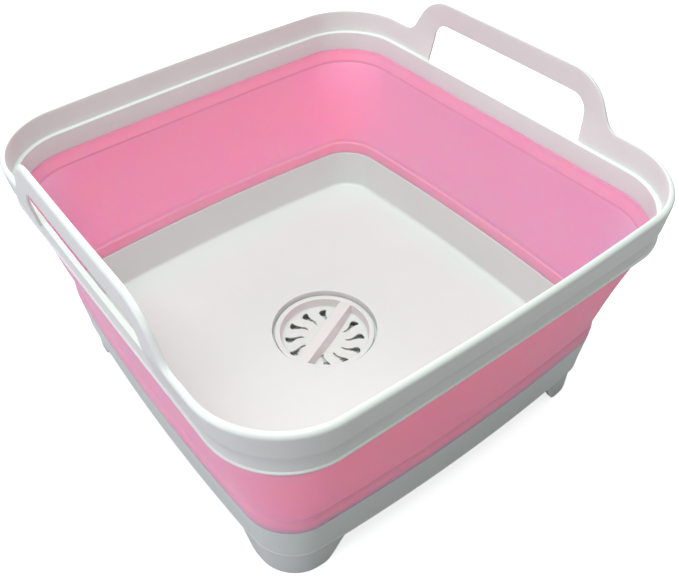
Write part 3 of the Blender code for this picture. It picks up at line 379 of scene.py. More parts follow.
def tray_column(station, drop):
    """The tray's section at one station; drop is the share of the foot's full depth there.

    The section runs down the outside and under the floor, through the well
    and back, and up the inside.
    """
    edge_z = FOOT_HEIGHT * (1 - drop)
    draft = FOOT_DRAFT * drop
    pocket_depth = FOOT_DEPTH + FOOT_WALL
    hollow = drop in (0.0, 1.0)
    roof_z = FLOOR_UNDER_Z if hollow else edge_z + ARCH_RIM_WALL
    web_z = (FOOT_HEIGHT + FOOT_WEB_RISE) * (1 - drop)
    shell = softened([
        (LAP_DEPTH, TRAY_TOP_Z, 0.2 * MM),
        (LAP_DEPTH, LAP_FOOT_Z, 0.1 * MM),
        (WALL_TOP_DEPTH, WALL_TOP_Z, 0.15 * MM),
        (WALL_FOOT_DEPTH, BEAD_TOP_Z, 0.2 * MM),
        (BEAD_DEPTH, BEAD_TOP_Z - BEAD_BROW, 0.2 * MM),
        (BEAD_FOOT_DEPTH, BEAD_TOP_Z - BEAD_HEIGHT, 0.5 * MM),
        (FOOT_DEPTH, BEAD_TOP_Z - BEAD_UNDERCUT, 0.2 * MM),
        (FOOT_DEPTH + draft, edge_z, 0.3 * MM + 0.4 * MM * drop),
        (pocket_depth + draft, edge_z, 0.3 * MM),
        (pocket_depth, roof_z, 0.0),
        (FOOT_WEB_DEPTH, roof_z, 0.0),
        (FOOT_WEB_DEPTH, web_z, 0.2 * MM),
        (FOOT_WEB_DEPTH + FOOT_WEB_WALL, web_z, 0.2 * MM),
        (FLOOR_EDGE_DEPTH, FLOOR_UNDER_Z, 0.0),
        (INNER_FOOT_DEPTH, FLOOR_Z, FLOOR_FILLET_R),
        (INNER_TOP_DEPTH, TRAY_TOP_Z, 0.6 * MM),
    ], SHELL_ARC_STEPS)
    inside = len(shell) - 2 * (SHELL_ARC_STEPS + 1)
    floor_edge = outline_point(inset(TRAY_OUTLINE, FLOOR_EDGE_DEPTH), station, 0.0)
    way = math.atan2(floor_edge.y, floor_edge.x)
    well = softened([
        (WELL_R + WELL_APRON, FLOOR_UNDER_Z, 0.6 * MM),
        (WELL_R + WELL_WALL, FLOOR_UNDER_Z - WELL_BLEND, 0.3 * MM),
        (WELL_R + WELL_WALL, WELL_LEDGE_Z - WELL_WALL, 0.6 * MM),
        (WELL_BORE_R + WELL_WALL, WELL_LEDGE_Z - 2 * WELL_WALL, 0.6 * MM),
        (WELL_BORE_R + WELL_WALL, WELL_UNDER_Z, WELL_FILLET_R),
        (OUTLET_R + OUTLET_COLLAR, WELL_UNDER_Z, 0.3 * MM),
        (OUTLET_R + OUTLET_COLLAR, OUTLET_UNDER_Z, 0.3 * MM),
        (OUTLET_R, OUTLET_UNDER_Z, 0.3 * MM),
        (OUTLET_R, WELL_FLOOR_Z, 0.3 * MM),
        (WELL_BORE_R, WELL_FLOOR_Z, WELL_FILLET_R),
        (WELL_BORE_R, WELL_LEDGE_Z, 0.4 * MM),
        (WELL_R, WELL_LEDGE_Z, 0.3 * MM),
        (WELL_R, FLOOR_Z, 0.5 * MM),
        (WELL_R + WELL_MARGIN, FLOOR_Z, 0.0),
    ], 3)
    walls = [outline_point(inset(TRAY_OUTLINE, depth), station, height) for depth, height in shell]
    drain = [Vector((radius * math.cos(way), radius * math.sin(way), height))
             for radius, height in well]
    return walls[:inside] + drain + walls[inside:]


tray_columns = []
for quarter in range(4):
    half = straight_half(TRAY_OUTLINE, quarter)
    flank = []
    for step in range(FLANK_STEPS + 1):
        share = step / FLANK_STEPS
        along = half - FOOT_FLAT - FOOT_FLANK * (1 - share)
        flank.append((along / half, share * share * (3 - 2 * share)))
    arch_end = flank[0][0]
    side = [(-1.0, 1.0)]
    side += [(-share, drop) for share, drop in reversed(flank)]
    side += [(arch_end * step / ARCH_STEPS, 0.0) for step in range(1 - ARCH_STEPS, ARCH_STEPS)]
    side += flank
    side += [(1.0, 1.0)]
    tray_columns += [tray_column((quarter, False, share), drop) for share, drop in side]
    tray_columns += [tray_column((quarter, True, step / CORNER_STEPS), 1.0)
                     for step in range(1, CORNER_STEPS)]
tray = ring_body("tray_moulding", tray_columns, TRAY_WHITE)
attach(tray, "base")
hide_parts("base_tray")


# ---------------------------------------------------------------- Soft wall
# A band of pink thermoplastic elastomer, overmoulded on tray and rim. Its
# panel is thinned at both edges into hinges and folds down through itself;
# the cuffs stay with the rigid mouldings that they are moulded on.
RIM_FOOT_OUTLINE = Outline(151 * MM, 146.2 * MM, 43 * MM, 1.9 * MM, 0.4 * MM)
LOWER_CREASE_Z = 66.35 * MM
UPPER_CREASE_Z = 130.15 * MM
UPPER_CREASE_INSET = 4.8 * MM
LOWER_CREASE_INSET = 0.8 * MM
PANEL_WALL = 1.7 * MM
PANEL_BULGE = 0.75 * MM
PANEL_STEPS = 22
UPPER_HINGE_WALL = 1.65 * MM
UPPER_HINGE_SHARE = 0.012
LOWER_HINGE_WALL = 1.2 * MM
LOWER_HINGE_SHARE = 0.04
LAST_STEP_SHARE = 0.97
CORNER_SWELL = 8 * MM
SWELL_PEAK = 0.36
SIDE_STEPS = 8
WALL_CORNER_STEPS = 24


def wall_stations():
    """Stations round the soft wall, close together on the corners."""
    stations = []
    for quarter in range(4):
        stations += [(quarter, False, step / SIDE_STEPS)
                     for step in range(-SIDE_STEPS, SIDE_STEPS + 1)]
        stations += [(quarter, True, step / WALL_CORNER_STEPS)
                     for step in range(1, WALL_CORNER_STEPS)]
    return stations


# Satin elastomer from a blasted mould: dull, with a pale blush by the lower
# crease; the thin panel lets red light through between its creases, and its
# fine grain is drawn at 1.5 mm to show
HINGE_REACH = 0.9 * MM
BLUSH_REACH = 9 * MM


def satin_elastomer(name, light, dark, blush, depth):
    """Pink elastomer between two tones; depth is how much of the light sinks into it."""
    material = bpy.data.materials.new(name)
    material.use_nodes = True
    tree = material.node_tree
    shader = tree.nodes["Principled BSDF"]
    spot = add_node(tree, "ShaderNodeTexCoord", {}, {})
    cloud = add_node(tree, "ShaderNodeTexNoise", {},
                     {"Vector": spot.outputs["Object"], "Scale": 1 / (50 * MM), "Detail": 4.0,
                      "Distortion": 0.8})
    tone = add_node(tree, "ShaderNodeMix", {"data_type": "RGBA"},
                    {0: cloud.outputs["Fac"], 6: linear(dark), 7: linear(light)})
    parts = add_node(tree, "ShaderNodeSeparateXYZ", {}, {"Vector": spot.outputs["Object"]})
    stress = add_node(tree, "ShaderNodeMapRange", {"interpolation_type": "SMOOTHSTEP"},
                      {"Value": parts.outputs["Z"], "From Min": LOWER_CREASE_Z + 0.5 * MM,
                       "From Max": LOWER_CREASE_Z + BLUSH_REACH, "To Min": 0.35, "To Max": 0.0})
    blushed = add_node(tree, "ShaderNodeMix", {"data_type": "RGBA"},
                       {0: stress.outputs[0], 6: tone.outputs[2], 7: linear(blush)})
    wear = add_node(tree, "ShaderNodeTexNoise", {},
                    {"Vector": spot.outputs["Object"], "Scale": 1 / (18 * MM), "Detail": 5.0,
                     "Roughness": 0.65})
    gloss = add_node(tree, "ShaderNodeMapRange", {},
                     {"Value": wear.outputs["Fac"], "From Min": 0.3, "From Max": 0.7,
                      "To Min": 0.46, "To Max": 0.58})
    grain = add_node(tree, "ShaderNodeTexNoise", {},
                     {"Vector": spot.outputs["Object"], "Scale": 1 / (1.5 * MM), "Detail": 2.0})
    relief = add_node(tree, "ShaderNodeBump", {},
                      {"Strength": 0.14, "Distance": 0.05 * MM, "Height": grain.outputs["Fac"]})
    near_hinge = []
    for crease_z in (LOWER_CREASE_Z, UPPER_CREASE_Z):
        beside = add_node(tree, "ShaderNodeMath", {"operation": "COMPARE"},
                          {0: parts.outputs["Z"], 1: crease_z, 2: HINGE_REACH})
        near_hinge.append(beside.outputs[0])
    either_hinge = add_node(tree, "ShaderNodeMath", {"operation": "MAXIMUM"},
                            {0: near_hinge[0], 1: near_hinge[1]})
    sunk = add_node(tree, "ShaderNodeMapRange", {},
                    {"Value": either_hinge.outputs[0], "To Min": depth, "To Max": 0.0})
    tree.links.new(blushed.outputs[2], shader.inputs["Base Color"])
    tree.links.new(gloss.outputs[0], shader.inputs["Roughness"])
    tree.links.new(relief.outputs[0], shader.inputs["Normal"])
    tree.links.new(sunk.outputs[0], shader.inputs["Subsurface Weight"])
    shader.inputs["IOR"].default_value = 1.42
    shader.inputs["Specular IOR Level"].default_value = 0.4
    shader.inputs["Subsurface Radius"].default_value = (1.0, 0.028, 0.075)
    shader.inputs["Subsurface Scale"].default_value = 8.0 * MM
    return material


PANEL_PINK = satin_elastomer("satin_thin_pink_elastomer",
                             "#FFB0D2", "#FFAACE", "#FFB8D8", 0.96)
# The cuffs' copy of the elastomer is painted a deeper pink. This is painted shade, for the shadow
# under the rim and for the light that their opaque backing holds back.
CUFF_PINK_WITH_PAINTED_SHADE = satin_elastomer("satin_pink_elastomer_painted_shade",
                            "#FAA6C5", "#F9A0C1", "#FFC2DA", 0.84)


def panel_level(share):
    """The fold panel's outline at a share of its way down, rounder in the middle."""
    top = inset(RIM_FOOT_OUTLINE, UPPER_CREASE_INSET)
    bottom = inset(TRAY_OUTLINE, LOWER_CREASE_INSET)
    rise = share / SWELL_PEAK if share < SWELL_PEAK else (1 - share) / (1 - SWELL_PEAK)
    fullness = math.sin(rise * math.pi / 2)
    rounder = between(top, bottom, share, CORNER_SWELL * fullness)
    return inset(rounder, -PANEL_BULGE * fullness)


def hinge_wall(share):
    """The panel's thickness: full in the middle and thinned beside each crease."""
    edge = min(share / UPPER_HINGE_SHARE, (1 - share) / LOWER_HINGE_SHARE, 1.0)
    thin = UPPER_HINGE_WALL if share < 0.5 else LOWER_HINGE_WALL
    return thin + (PANEL_WALL - thin) * edge * edge * (3 - 2 * edge)


middle_share = LAST_STEP_SHARE - UPPER_HINGE_SHARE
panel_shares = [0.0, UPPER_HINGE_SHARE / 2, UPPER_HINGE_SHARE]
panel_shares += [UPPER_HINGE_SHARE + middle_share * step / PANEL_STEPS
                 for step in range(1, PANEL_STEPS + 1)]
panel_shares += [0.98, 0.99, 1.0]
panel_columns = []
for station in wall_stations():
    outside = []
    inside = []
    for share in panel_shares:
        height = UPPER_CREASE_Z + (LOWER_CREASE_Z - UPPER_CREASE_Z) * share
        outside.append(outline_point(panel_level(share), station, height))
        inside.append(outline_point(inset(panel_level(share), hinge_wall(share)), station, height))
    panel_columns.append(outside + inside[::-1])
panel = ring_body("fold_panel_skin", panel_columns, PANEL_PINK, 60)
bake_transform(panel)
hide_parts("wall_fold_panel")

# The cuffs' sections, as (depth, height, radius), start at the rigid moulding
UPPER_CUFF_TOP_Z = 139.05 * MM
UPPER_SHOULDER_Z = 136.5 * MM
CUFF_LAP_Z = 54.9 * MM
LOWER_CUFF_FOOT_Z = TRAY_TOP_Z - 0.05 * MM
upper_section = softened([
    (1.0 * MM, UPPER_CUFF_TOP_Z, 0.0),
    (3.2 * MM, UPPER_CUFF_TOP_Z, 0.0),
    (4.2 * MM, UPPER_SHOULDER_Z, 1.2 * MM),
    (UPPER_CREASE_INSET + PANEL_WALL, UPPER_CREASE_Z + 1.6 * MM, 2.0 * MM),
    (UPPER_CREASE_INSET + UPPER_HINGE_WALL, UPPER_CREASE_Z - 0.1 * MM, 0.0),
    (UPPER_CREASE_INSET, UPPER_CREASE_Z - 0.1 * MM, 0.0),
    (UPPER_CREASE_INSET - 0.2 * MM, UPPER_CREASE_Z + 1.0 * MM, 1.0 * MM),
    (1.5 * MM, UPPER_SHOULDER_Z, 1.6 * MM),
])


def cuff_body(name, outline, section):
    """A cuff with the same section all round an outline."""
    columns = [[outline_point(inset(outline, depth), station, height) for depth, height in section]
               for station in wall_stations()]
    return ring_body(name, columns, CUFF_PINK_WITH_PAINTED_SHADE, 50)


upper_cuff = cuff_body("upper_cuff_skin", RIM_FOOT_OUTLINE, upper_section)
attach(upper_cuff, "rim")
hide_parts("wall_upper_cuff")

lower_section = softened([
    (0.05 * MM, CUFF_LAP_Z, 0.15 * MM),
    (-0.1 * MM, 60.5 * MM, 2.0 * MM),
    (0.1 * MM, 63.8 * MM, 1.5 * MM),
    (LOWER_CREASE_INSET, LOWER_CREASE_Z + 0.05 * MM, 0.5 * MM),
    (LOWER_CREASE_INSET + LOWER_HINGE_WALL, LOWER_CREASE_Z + 0.05 * MM, 0.0),
    (LOWER_CREASE_INSET + PANEL_WALL, LOWER_CREASE_Z - 1.3 * MM, 0.9 * MM),
    (2.55 * MM, 63.3 * MM, 1.0 * MM),
    (2.35 * MM, LOWER_CUFF_FOOT_Z, 0.15 * MM),
    (0.6 * MM, LOWER_CUFF_FOOT_Z, 0.0),
    (0.6 * MM, CUFF_LAP_Z, 0.0),
])
lower_cuff = cuff_body("lower_cuff_skin", TRAY_OUTLINE, lower_section)
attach(lower_cuff, "base")
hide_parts("wall_lower_cuff")


# ---------------------------------------------------------------- Rim frame
# The rigid upper moulding: a drafted wall with a round lip that rises into a
# looped handle on two sides, joggled out over a ledge and a lower band with
# a flange. White polypropylene in one shot, from a better-polished mould; its
# tone is painted lighter than the tray's, as painted light on its ledge and lip.
RIM_OUTLINE = Outline(155 * MM, 150.75 * MM, 46 * MM, 4.8 * MM, 1.8 * MM)
RIM_Z = 139 * MM
RIM_TOP_Z = 169 * MM
LEDGE_Z = 153.1 * MM
STEP_Z = 151.5 * MM
LIP_WIDTH = 3.5 * MM
LIP_OUTER_R = 2.8 * MM
LIP_INNER_R = 0.5 * MM
HAIR = 0.01 * MM
EDGE_R = 0.35 * MM
EDGE_SOFT_SHARE = 0.3
UPPER_WALL = 1.7 * MM
UPPER_WALL_FOOT = 2.0 * MM
BAND_PROUD = 0.4 * MM
FLANGE_HEIGHT = 1.1 * MM
HANDLE_RISE = 28.5 * MM
HANDLE_SIDE_HALF = 104.2 * MM
HANDLE_FOOT_HALF = 91 * MM
HANDLE_FILLET_R = 10 * MM
HANDLE_CORNER_R = 28 * MM
HANDLE_FLANK = math.radians(60)
WINDOW_TOP_Z = 181.1 * MM
WINDOW_SILL_HALF = 66.5 * MM
WINDOW_TOP_HALF = 63.5 * MM
WINDOW_CORNER_R = 11 * MM
RIM_CORNER_STEPS = 26
BAND_SIDE_STEPS = 12
WALL_STEPS = 6
LIP_STEPS = 7
BROW_STEPS = 3
# Steps along half a handle side, from the corner to the handle's middle
SHOULDER_STEPS = 5
FILLET_STEPS = 8
LOOP_STEPS = 32
BAR_STEPS = 8
# Steps of the two arcs that the loop is drawn from
HANDLE_ARC_STEPS = 24
WINDOW_ARC_STEPS = 16

# The glossier finish comes from the mould. The lighter tone is painted light, standing in for the
# bright light on the ledge and lip.
RIM_WHITE_PAINTED_LIGHT = moulded_white("glossy_polypropylene_painted_lighter", "#EAECEB", "#E6E8E7",
                          (0.27, 0.33), 1.4, 0.03)


def rim_point(station, across, height, depth):
    """A point of the rim at a height and depth; across, if given, is its place along a side."""
    share = min(max((RIM_TOP_Z - height) / (RIM_TOP_Z - RIM_Z), 0.0), 1.0)
    outline = inset(between(RIM_OUTLINE, RIM_FOOT_OUTLINE, share), depth)
    if across is not None:
        station = (station[0], False, across / straight_half(outline, station[0]))
    return outline_point(outline, station, height)


def rim_wall_column(station, top, inward, low):
    """The upper wall's section: up the outside, over the lip, down the inside and under.

    top and low are (across, height) of its upper and lower edges, and inward
    is the direction from the upper edge into the wall. A station without a
    share takes its place along the side from them.
    """
    top, inward, low = Vector(top), Vector(inward), Vector(low)
    plain = top.y < RIM_TOP_Z + HAIR and low.y < LEDGE_Z
    shoulder = top + inward * LIP_OUTER_R
    brow = top + inward * LIP_INNER_R
    lift = (shoulder - low).normalized()
    edge = low + lift * EDGE_R
    softer_edge = low + lift * EDGE_R * EDGE_SOFT_SHARE
    inner_low = Vector((low.x, LEDGE_Z)) if plain else edge
    low_share = min((brow.y - inner_low.y) / (RIM_TOP_Z - LEDGE_Z), 1.0)
    low_depth = LIP_WIDTH + (UPPER_WALL - LIP_WIDTH) * low_share
    under_depth = UPPER_WALL_FOOT if plain else low_depth
    profile = [(edge.lerp(shoulder, step / WALL_STEPS), 0.0) for step in range(WALL_STEPS + 1)]
    for step in range(1, LIP_STEPS + 1):
        angle = math.pi / 2 * step / LIP_STEPS
        profile.append((top + inward * LIP_OUTER_R * (1 - math.sin(angle)),
                        LIP_OUTER_R * (1 - math.cos(angle))))
    for step in range(BROW_STEPS + 1):
        angle = math.pi / 2 * step / BROW_STEPS
        profile.append((top + inward * LIP_INNER_R * (1 - math.cos(angle)),
                        LIP_WIDTH - LIP_INNER_R * (1 - math.sin(angle))))
    for step in range(1, WALL_STEPS + 1):
        profile.append((brow.lerp(inner_low, step / WALL_STEPS),
                        LIP_WIDTH + (low_depth - LIP_WIDTH) * step / WALL_STEPS))
    profile.append((edge, under_depth - HAIR))
    profile.append((softer_edge, under_depth - EDGE_R * EDGE_SOFT_SHARE))
    profile.append((low, under_depth - EDGE_R))
    profile.append((low, EDGE_R))
    profile.append((softer_edge, EDGE_R * EDGE_SOFT_SHARE))
    from_side = station[2] is None
    return [rim_point(station, place.x if from_side else None, place.y, depth)
            for place, depth in profile]


ROUNDING = 1e-12


def along_line(points, share):
    """The point a share of the way along a line of (across, height) points."""
    lengths = [(Vector(b) - Vector(a)).length for a, b in zip(points, points[1:])]
    left = share * sum(lengths)
    for (start, end), length in zip(zip(points, points[1:]), lengths):
        if left <= length + ROUNDING:
            mixed = Vector(start).lerp(Vector(end), min(left / length, 1.0))
            return (mixed.x, mixed.y)
        left -= length
    return points[-1]


def handle_stations():
    """Half of a handle side, from the corner to the middle, as (top, inward, low)."""
    stations = []
    for step in range(SHOULDER_STEPS):
        share = step / SHOULDER_STEPS
        across = HANDLE_SIDE_HALF + (HANDLE_FOOT_HALF - HANDLE_SIDE_HALF) * share
        stations.append(((across, RIM_TOP_Z), (0.0, -1.0), (across, STEP_Z)))
    fillet_end = HANDLE_FOOT_HALF - HANDLE_FILLET_R * math.sin(HANDLE_FLANK)
    for step in range(FILLET_STEPS + 1):
        share = step / FILLET_STEPS
        angle = HANDLE_FLANK * share
        across = HANDLE_FOOT_HALF - HANDLE_FILLET_R * math.sin(angle)
        height = RIM_TOP_Z + HANDLE_FILLET_R * (1 - math.cos(angle))
        low_across = HANDLE_FOOT_HALF + (WINDOW_SILL_HALF - HANDLE_FOOT_HALF) * share
        stations.append(((across, height), (-math.sin(angle), -math.cos(angle)),
                         (low_across, STEP_Z)))
    flank_low = RIM_TOP_Z + HANDLE_FILLET_R * (1 - math.cos(HANDLE_FLANK))
    shoulder_low = RIM_TOP_Z + HANDLE_RISE - HANDLE_CORNER_R * (1 - math.cos(HANDLE_FLANK))
    shoulder_across = fillet_end - (shoulder_low - flank_low) / math.tan(HANDLE_FLANK)
    bar_end = shoulder_across - HANDLE_CORNER_R * math.sin(HANDLE_FLANK)
    outer = [(fillet_end, flank_low), (shoulder_across, shoulder_low)]
    for step in range(1, HANDLE_ARC_STEPS + 1):
        angle = HANDLE_FLANK * (1 - step / HANDLE_ARC_STEPS)
        outer.append((bar_end + HANDLE_CORNER_R * math.sin(angle),
                      RIM_TOP_Z + HANDLE_RISE - HANDLE_CORNER_R * (1 - math.cos(angle))))
    lean = math.atan2(WINDOW_SILL_HALF - WINDOW_TOP_HALF, WINDOW_TOP_Z - LEDGE_Z)
    bend = math.pi / 2 - lean
    setback = WINDOW_CORNER_R * math.tan(bend / 2)
    window = [(WINDOW_SILL_HALF, STEP_Z), (WINDOW_SILL_HALF, LEDGE_Z)]
    for step in range(WINDOW_ARC_STEPS + 1):
        angle = lean + bend * step / WINDOW_ARC_STEPS
        window.append((WINDOW_TOP_HALF - setback + WINDOW_CORNER_R * math.cos(angle),
                       WINDOW_TOP_Z - WINDOW_CORNER_R * (1 - math.sin(angle))))
    for step in range(1, LOOP_STEPS + 1):
        share = step / LOOP_STEPS
        top = along_line(outer, share)
        rise_left = RIM_TOP_Z + HANDLE_RISE - top[1]
        turn = min(math.acos(max(min(1 - rise_left / HANDLE_CORNER_R, 1.0), -1.0)), HANDLE_FLANK)
        stations.append((top, (-math.sin(turn), -math.cos(turn)), along_line(window, share)))
    low_end = window[-1][0]
    for step in range(1, BAR_STEPS + 1):
        share = step / BAR_STEPS
        stations.append(((bar_end * (1 - share), RIM_TOP_Z + HANDLE_RISE), (0.0, -1.0),
                         (low_end * (1 - share), WINDOW_TOP_Z)))
    return stations


rim_columns = []
plain_wall = ((0.0, RIM_TOP_Z), (0.0, -1.0), (0.0, STEP_Z))
for quarter in range(4):
    if quarter % 2:
        half_side = handle_stations()
        mirrored = []
        for top, inward, low in half_side:
            mirrored.append(((-top[0], top[1]), (-inward[0], inward[1]), (-low[0], low[1])))
        for top, inward, low in mirrored + half_side[-2::-1]:
            rim_columns.append(rim_wall_column((quarter, False, None), top, inward, low))
    else:
        for step in range(-SIDE_STEPS, SIDE_STEPS + 1):
            rim_columns.append(rim_wall_column((quarter, False, step / SIDE_STEPS), *plain_wall))
    for step in range(1, RIM_CORNER_STEPS):
        rim_columns.append(rim_wall_column((quarter, True, step / RIM_CORNER_STEPS), *plain_wall))
rim_wall = ring_body("rim_moulding", rim_columns, RIM_WHITE_PAINTED_LIGHT)

# The ledge and the band under it, as (depth, height, radius)
band_section = softened([
    (UPPER_WALL, LEDGE_Z, 0.2 * MM),
    (4.8 * MM, LEDGE_Z, 0.3 * MM),
    (2.5 * MM, RIM_Z, 0.4 * MM),
    (-BAND_PROUD, RIM_Z, 0.3 * MM),
    (-BAND_PROUD, RIM_Z + FLANGE_HEIGHT, 0.25 * MM),
    (0.6 * MM, RIM_Z + 1.5 * MM, 0.2 * MM),
])
band_columns = []
for quarter in range(4):
    stations = [(quarter, False, step / BAND_SIDE_STEPS)
                for step in range(-BAND_SIDE_STEPS, BAND_SIDE_STEPS + 1)]
    stations += [(quarter, True, step / RIM_CORNER_STEPS) for step in range(1, RIM_CORNER_STEPS)]
    for station in stations:
        band_columns.append([rim_point(station, None, height, depth)
                             for depth, height in band_section])
rim_band = ring_body("rim_ledge_band", band_columns, RIM_WHITE_PAINTED_LIGHT)
for piece in (rim_wall, rim_band):
    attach(piece, "rim")
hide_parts("rim_frame")


# ---------------------------------------------------------------- Outlet seat and stopper
# A white bush, snapped through the well's floor on a silicone washer, guides
# the stopper's stem. The stopper's disc carries a silicone ring and is held
# on the stem by a sprung clip. These are the CAD's own solids, given finishes.

# Moulded silicone, unpigmented: milky, smooth and a little see-through
milky = bpy.data.materials.new("smooth_milky_silicone")
milky.use_nodes = True
milky_shader = milky.node_tree.nodes["Principled BSDF"]
milky_spot = add_node(milky.node_tree, "ShaderNodeTexCoord", {}, {})
milky_cloud = add_node(milky.node_tree, "ShaderNodeTexNoise", {},
                       {"Vector": milky_spot.outputs["Object"], "Scale": 1 / (8 * MM),
                        "Detail": 3.0})
milky_tone = add_node(milky.node_tree, "ShaderNodeMix", {"data_type": "RGBA"},
                      {0: milky_cloud.outputs["Fac"], 6: linear("#D8DBDA"), 7: linear("#E6E8E6")})
milky_bump = add_node(milky.node_tree, "ShaderNodeBump", {},
                      {"Strength": 0.08, "Distance": 0.03 * MM,
                       "Height": milky_cloud.outputs["Fac"]})
milky.node_tree.links.new(milky_tone.outputs[2], milky_shader.inputs["Base Color"])
milky.node_tree.links.new(milky_bump.outputs[0], milky_shader.inputs["Normal"])
milky_shader.inputs["Roughness"].default_value = 0.4
milky_shader.inputs["IOR"].default_value = 1.41
milky_shader.inputs["Subsurface Weight"].default_value = 0.3
milky_shader.inputs["Subsurface Scale"].default_value = 1.5 * MM

# Stainless strip, blanked and sprung: bright, with the fine grain of rolling
steel = bpy.data.materials.new("blanked_stainless_strip")
steel.use_nodes = True
steel_shader = steel.node_tree.nodes["Principled BSDF"]
steel_spot = add_node(steel.node_tree, "ShaderNodeTexCoord", {}, {})
steel_grain = add_node(steel.node_tree, "ShaderNodeTexNoise", {},
                       {"Vector": steel_spot.outputs["Object"], "Scale": 1 / (0.6 * MM),
                        "Detail": 3.0})
steel_rough = add_node(steel.node_tree, "ShaderNodeMapRange", {},
                       {"Value": steel_grain.outputs["Fac"], "From Min": 0.3,
                        "From Max": 0.7, "To Min": 0.22, "To Max": 0.38})
steel.node_tree.links.new(steel_rough.outputs[0], steel_shader.inputs["Roughness"])
steel_shader.inputs["Base Color"].default_value = linear("#C9CACC")
steel_shader.inputs["Metallic"].default_value = 1.0

finishes = {"outlet_seat": TRAY_WHITE, "stopper_stem": TRAY_WHITE, "stopper_disc": TRAY_WHITE,
            "outlet_gasket": milky, "stopper_seal": milky, "stem_clip": steel}
for name, finish in finishes.items():
    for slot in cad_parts[name].material_slots:
        slot.material = finish


# ---------------------------------------------------------------- Strainer basket
# A lift-out strainer that drops in the well: a ring that stands on the
# well's step, a shallow cup, a disc with twelve flame-shaped slots and a
# grip bar across it. White polypropylene, moulded in one piece.
BASKET_R = 35 * MM
RING_BORE_R = 31.4 * MM
CUP_R = 33.6 * MM
CUP_DRAFT = 0.4 * MM
DISC_UNDER_Z = 14.1 * MM
DISC_R = 30.4 * MM
DISC_LAP_R = 29.8 * MM
DISH_Z = 15.9 * MM
DISH_SAG = 1.0 * MM
DISH_RINGS = 6
ROUND_STEPS = 96
BASKET_TOP_Z = 23.4 * MM
RING_UNDER_Z = 20.2 * MM
GRIP_ANGLE = math.radians(113.4)
GRIP_WIDTH = 8.5 * MM
GRIP_DROP = 0.15 * MM
GRIP_FLARE = 0.5 * MM
GRIP_MIDDLE_FLARE = 1.7 * MM
GRIP_HALF_LENGTH = 32.5 * MM
GRIP_STEPS = 8
SLOT_COUNT = 12
SLOT_PHASE = math.radians(23)
SLOT_HEAD_R = 28 * MM
SLOT_TAIL_R = 14.6 * MM
SLOT_HALF_WIDTH = 2.4 * MM
SLOT_SWAY = 1.7 * MM
SLOT_EDGE_R = 0.3 * MM
SLOT_CURVE_STEPS = 4

# The same polypropylene in a thin wall, so that more light sinks into it
BASKET_WHITE = moulded_white("fresh_moulded_polypropylene", "#E3E4E2", "#DEE0DE",
                             (0.28, 0.36), 1.2, 0.04, 0.45)


def circle_point(radius, turn, height):
    """A point on a level circle round the drain, a number of steps round it."""
    angle = 2 * math.pi * turn / ROUND_STEPS
    return Vector((radius * math.cos(angle), radius * math.sin(angle), height))


def cup_and_ring():
    """The turned shell of the basket: ring, cup wall and the edge of its disc."""
    section = softened([
        (RING_BORE_R, BASKET_TOP_Z, 0.5 * MM),
        (BASKET_R, BASKET_TOP_Z, 0.5 * MM),
        (BASKET_R, RING_UNDER_Z, 0.3 * MM),
        (CUP_R, RING_UNDER_Z, 0.3 * MM),
        (CUP_R - CUP_DRAFT, DISC_UNDER_Z, 0.8 * MM),
        (DISC_LAP_R, DISC_UNDER_Z, 0.0),
        (DISC_LAP_R, DISH_Z, 0.0),
        (RING_BORE_R - CUP_DRAFT, DISH_Z, 0.9 * MM),
    ])
    columns = [[circle_point(radius, turn, height) for radius, height in section]
               for turn in range(ROUND_STEPS)]
    return ring_body("strainer_cup", columns, BASKET_WHITE, 50)


def smooth_shares(*values):
    """A smooth curve through a table of shares, in small steps."""
    drawn = []
    for index in range(len(values) - 1):
        before = values[max(index - 1, 0)]
        start, end = values[index], values[index + 1]
        after = values[min(index + 2, len(values) - 1)]
        for step in range(SLOT_CURVE_STEPS):
            t = step / SLOT_CURVE_STEPS
            drawn.append(0.5 * (2 * start + (end - before) * t
                                + (2 * before - 5 * start + 4 * end - after) * t ** 2
                                + (3 * start - before - 3 * end + after) * t ** 3))
    return drawn + [values[-1]]


def flame_cutter():
    """One flame-shaped slot as an upright bar, drawn for a slot that lies on +X.

    The tables run from the flame's tail to its head, as shares of the slot's
    length, half width and sway.
    """
    lengths = smooth_shares(0.0, 0.22, 0.45, 0.62, 0.78, 0.91, 0.98, 1.0)
    widths = smooth_shares(0.16, 0.34, 0.5, 0.82, 1.0, 0.86, 0.5, 0.1)
    sways = smooth_shares(-0.8, -0.9, -0.2, 0.6, 0.9, 0.5, 0.1, 0.0)
    left = []
    right = []
    for length, width, sway in zip(lengths, widths, sways):
        out = SLOT_TAIL_R + (SLOT_HEAD_R - SLOT_TAIL_R) * length
        left.append((out, SLOT_SWAY * sway + SLOT_HALF_WIDTH * width))
        right.append((out, SLOT_SWAY * sway - SLOT_HALF_WIDTH * width))
    outline = left + right[-2::-1]
    builder = bmesh.new()
    lower = [builder.verts.new((x, y, DISC_UNDER_Z - MM)) for x, y in outline]
    upper = [builder.verts.new((x, y, DISH_Z + MM)) for x, y in outline]
    builder.faces.new(lower)
    builder.faces.new(upper)
    for step in range(len(outline)):
        after = (step + 1) % len(outline)
        builder.faces.new((lower[step], lower[after], upper[after], upper[step]))
    return finished_piece("flame_cutter", builder, BASKET_WHITE)


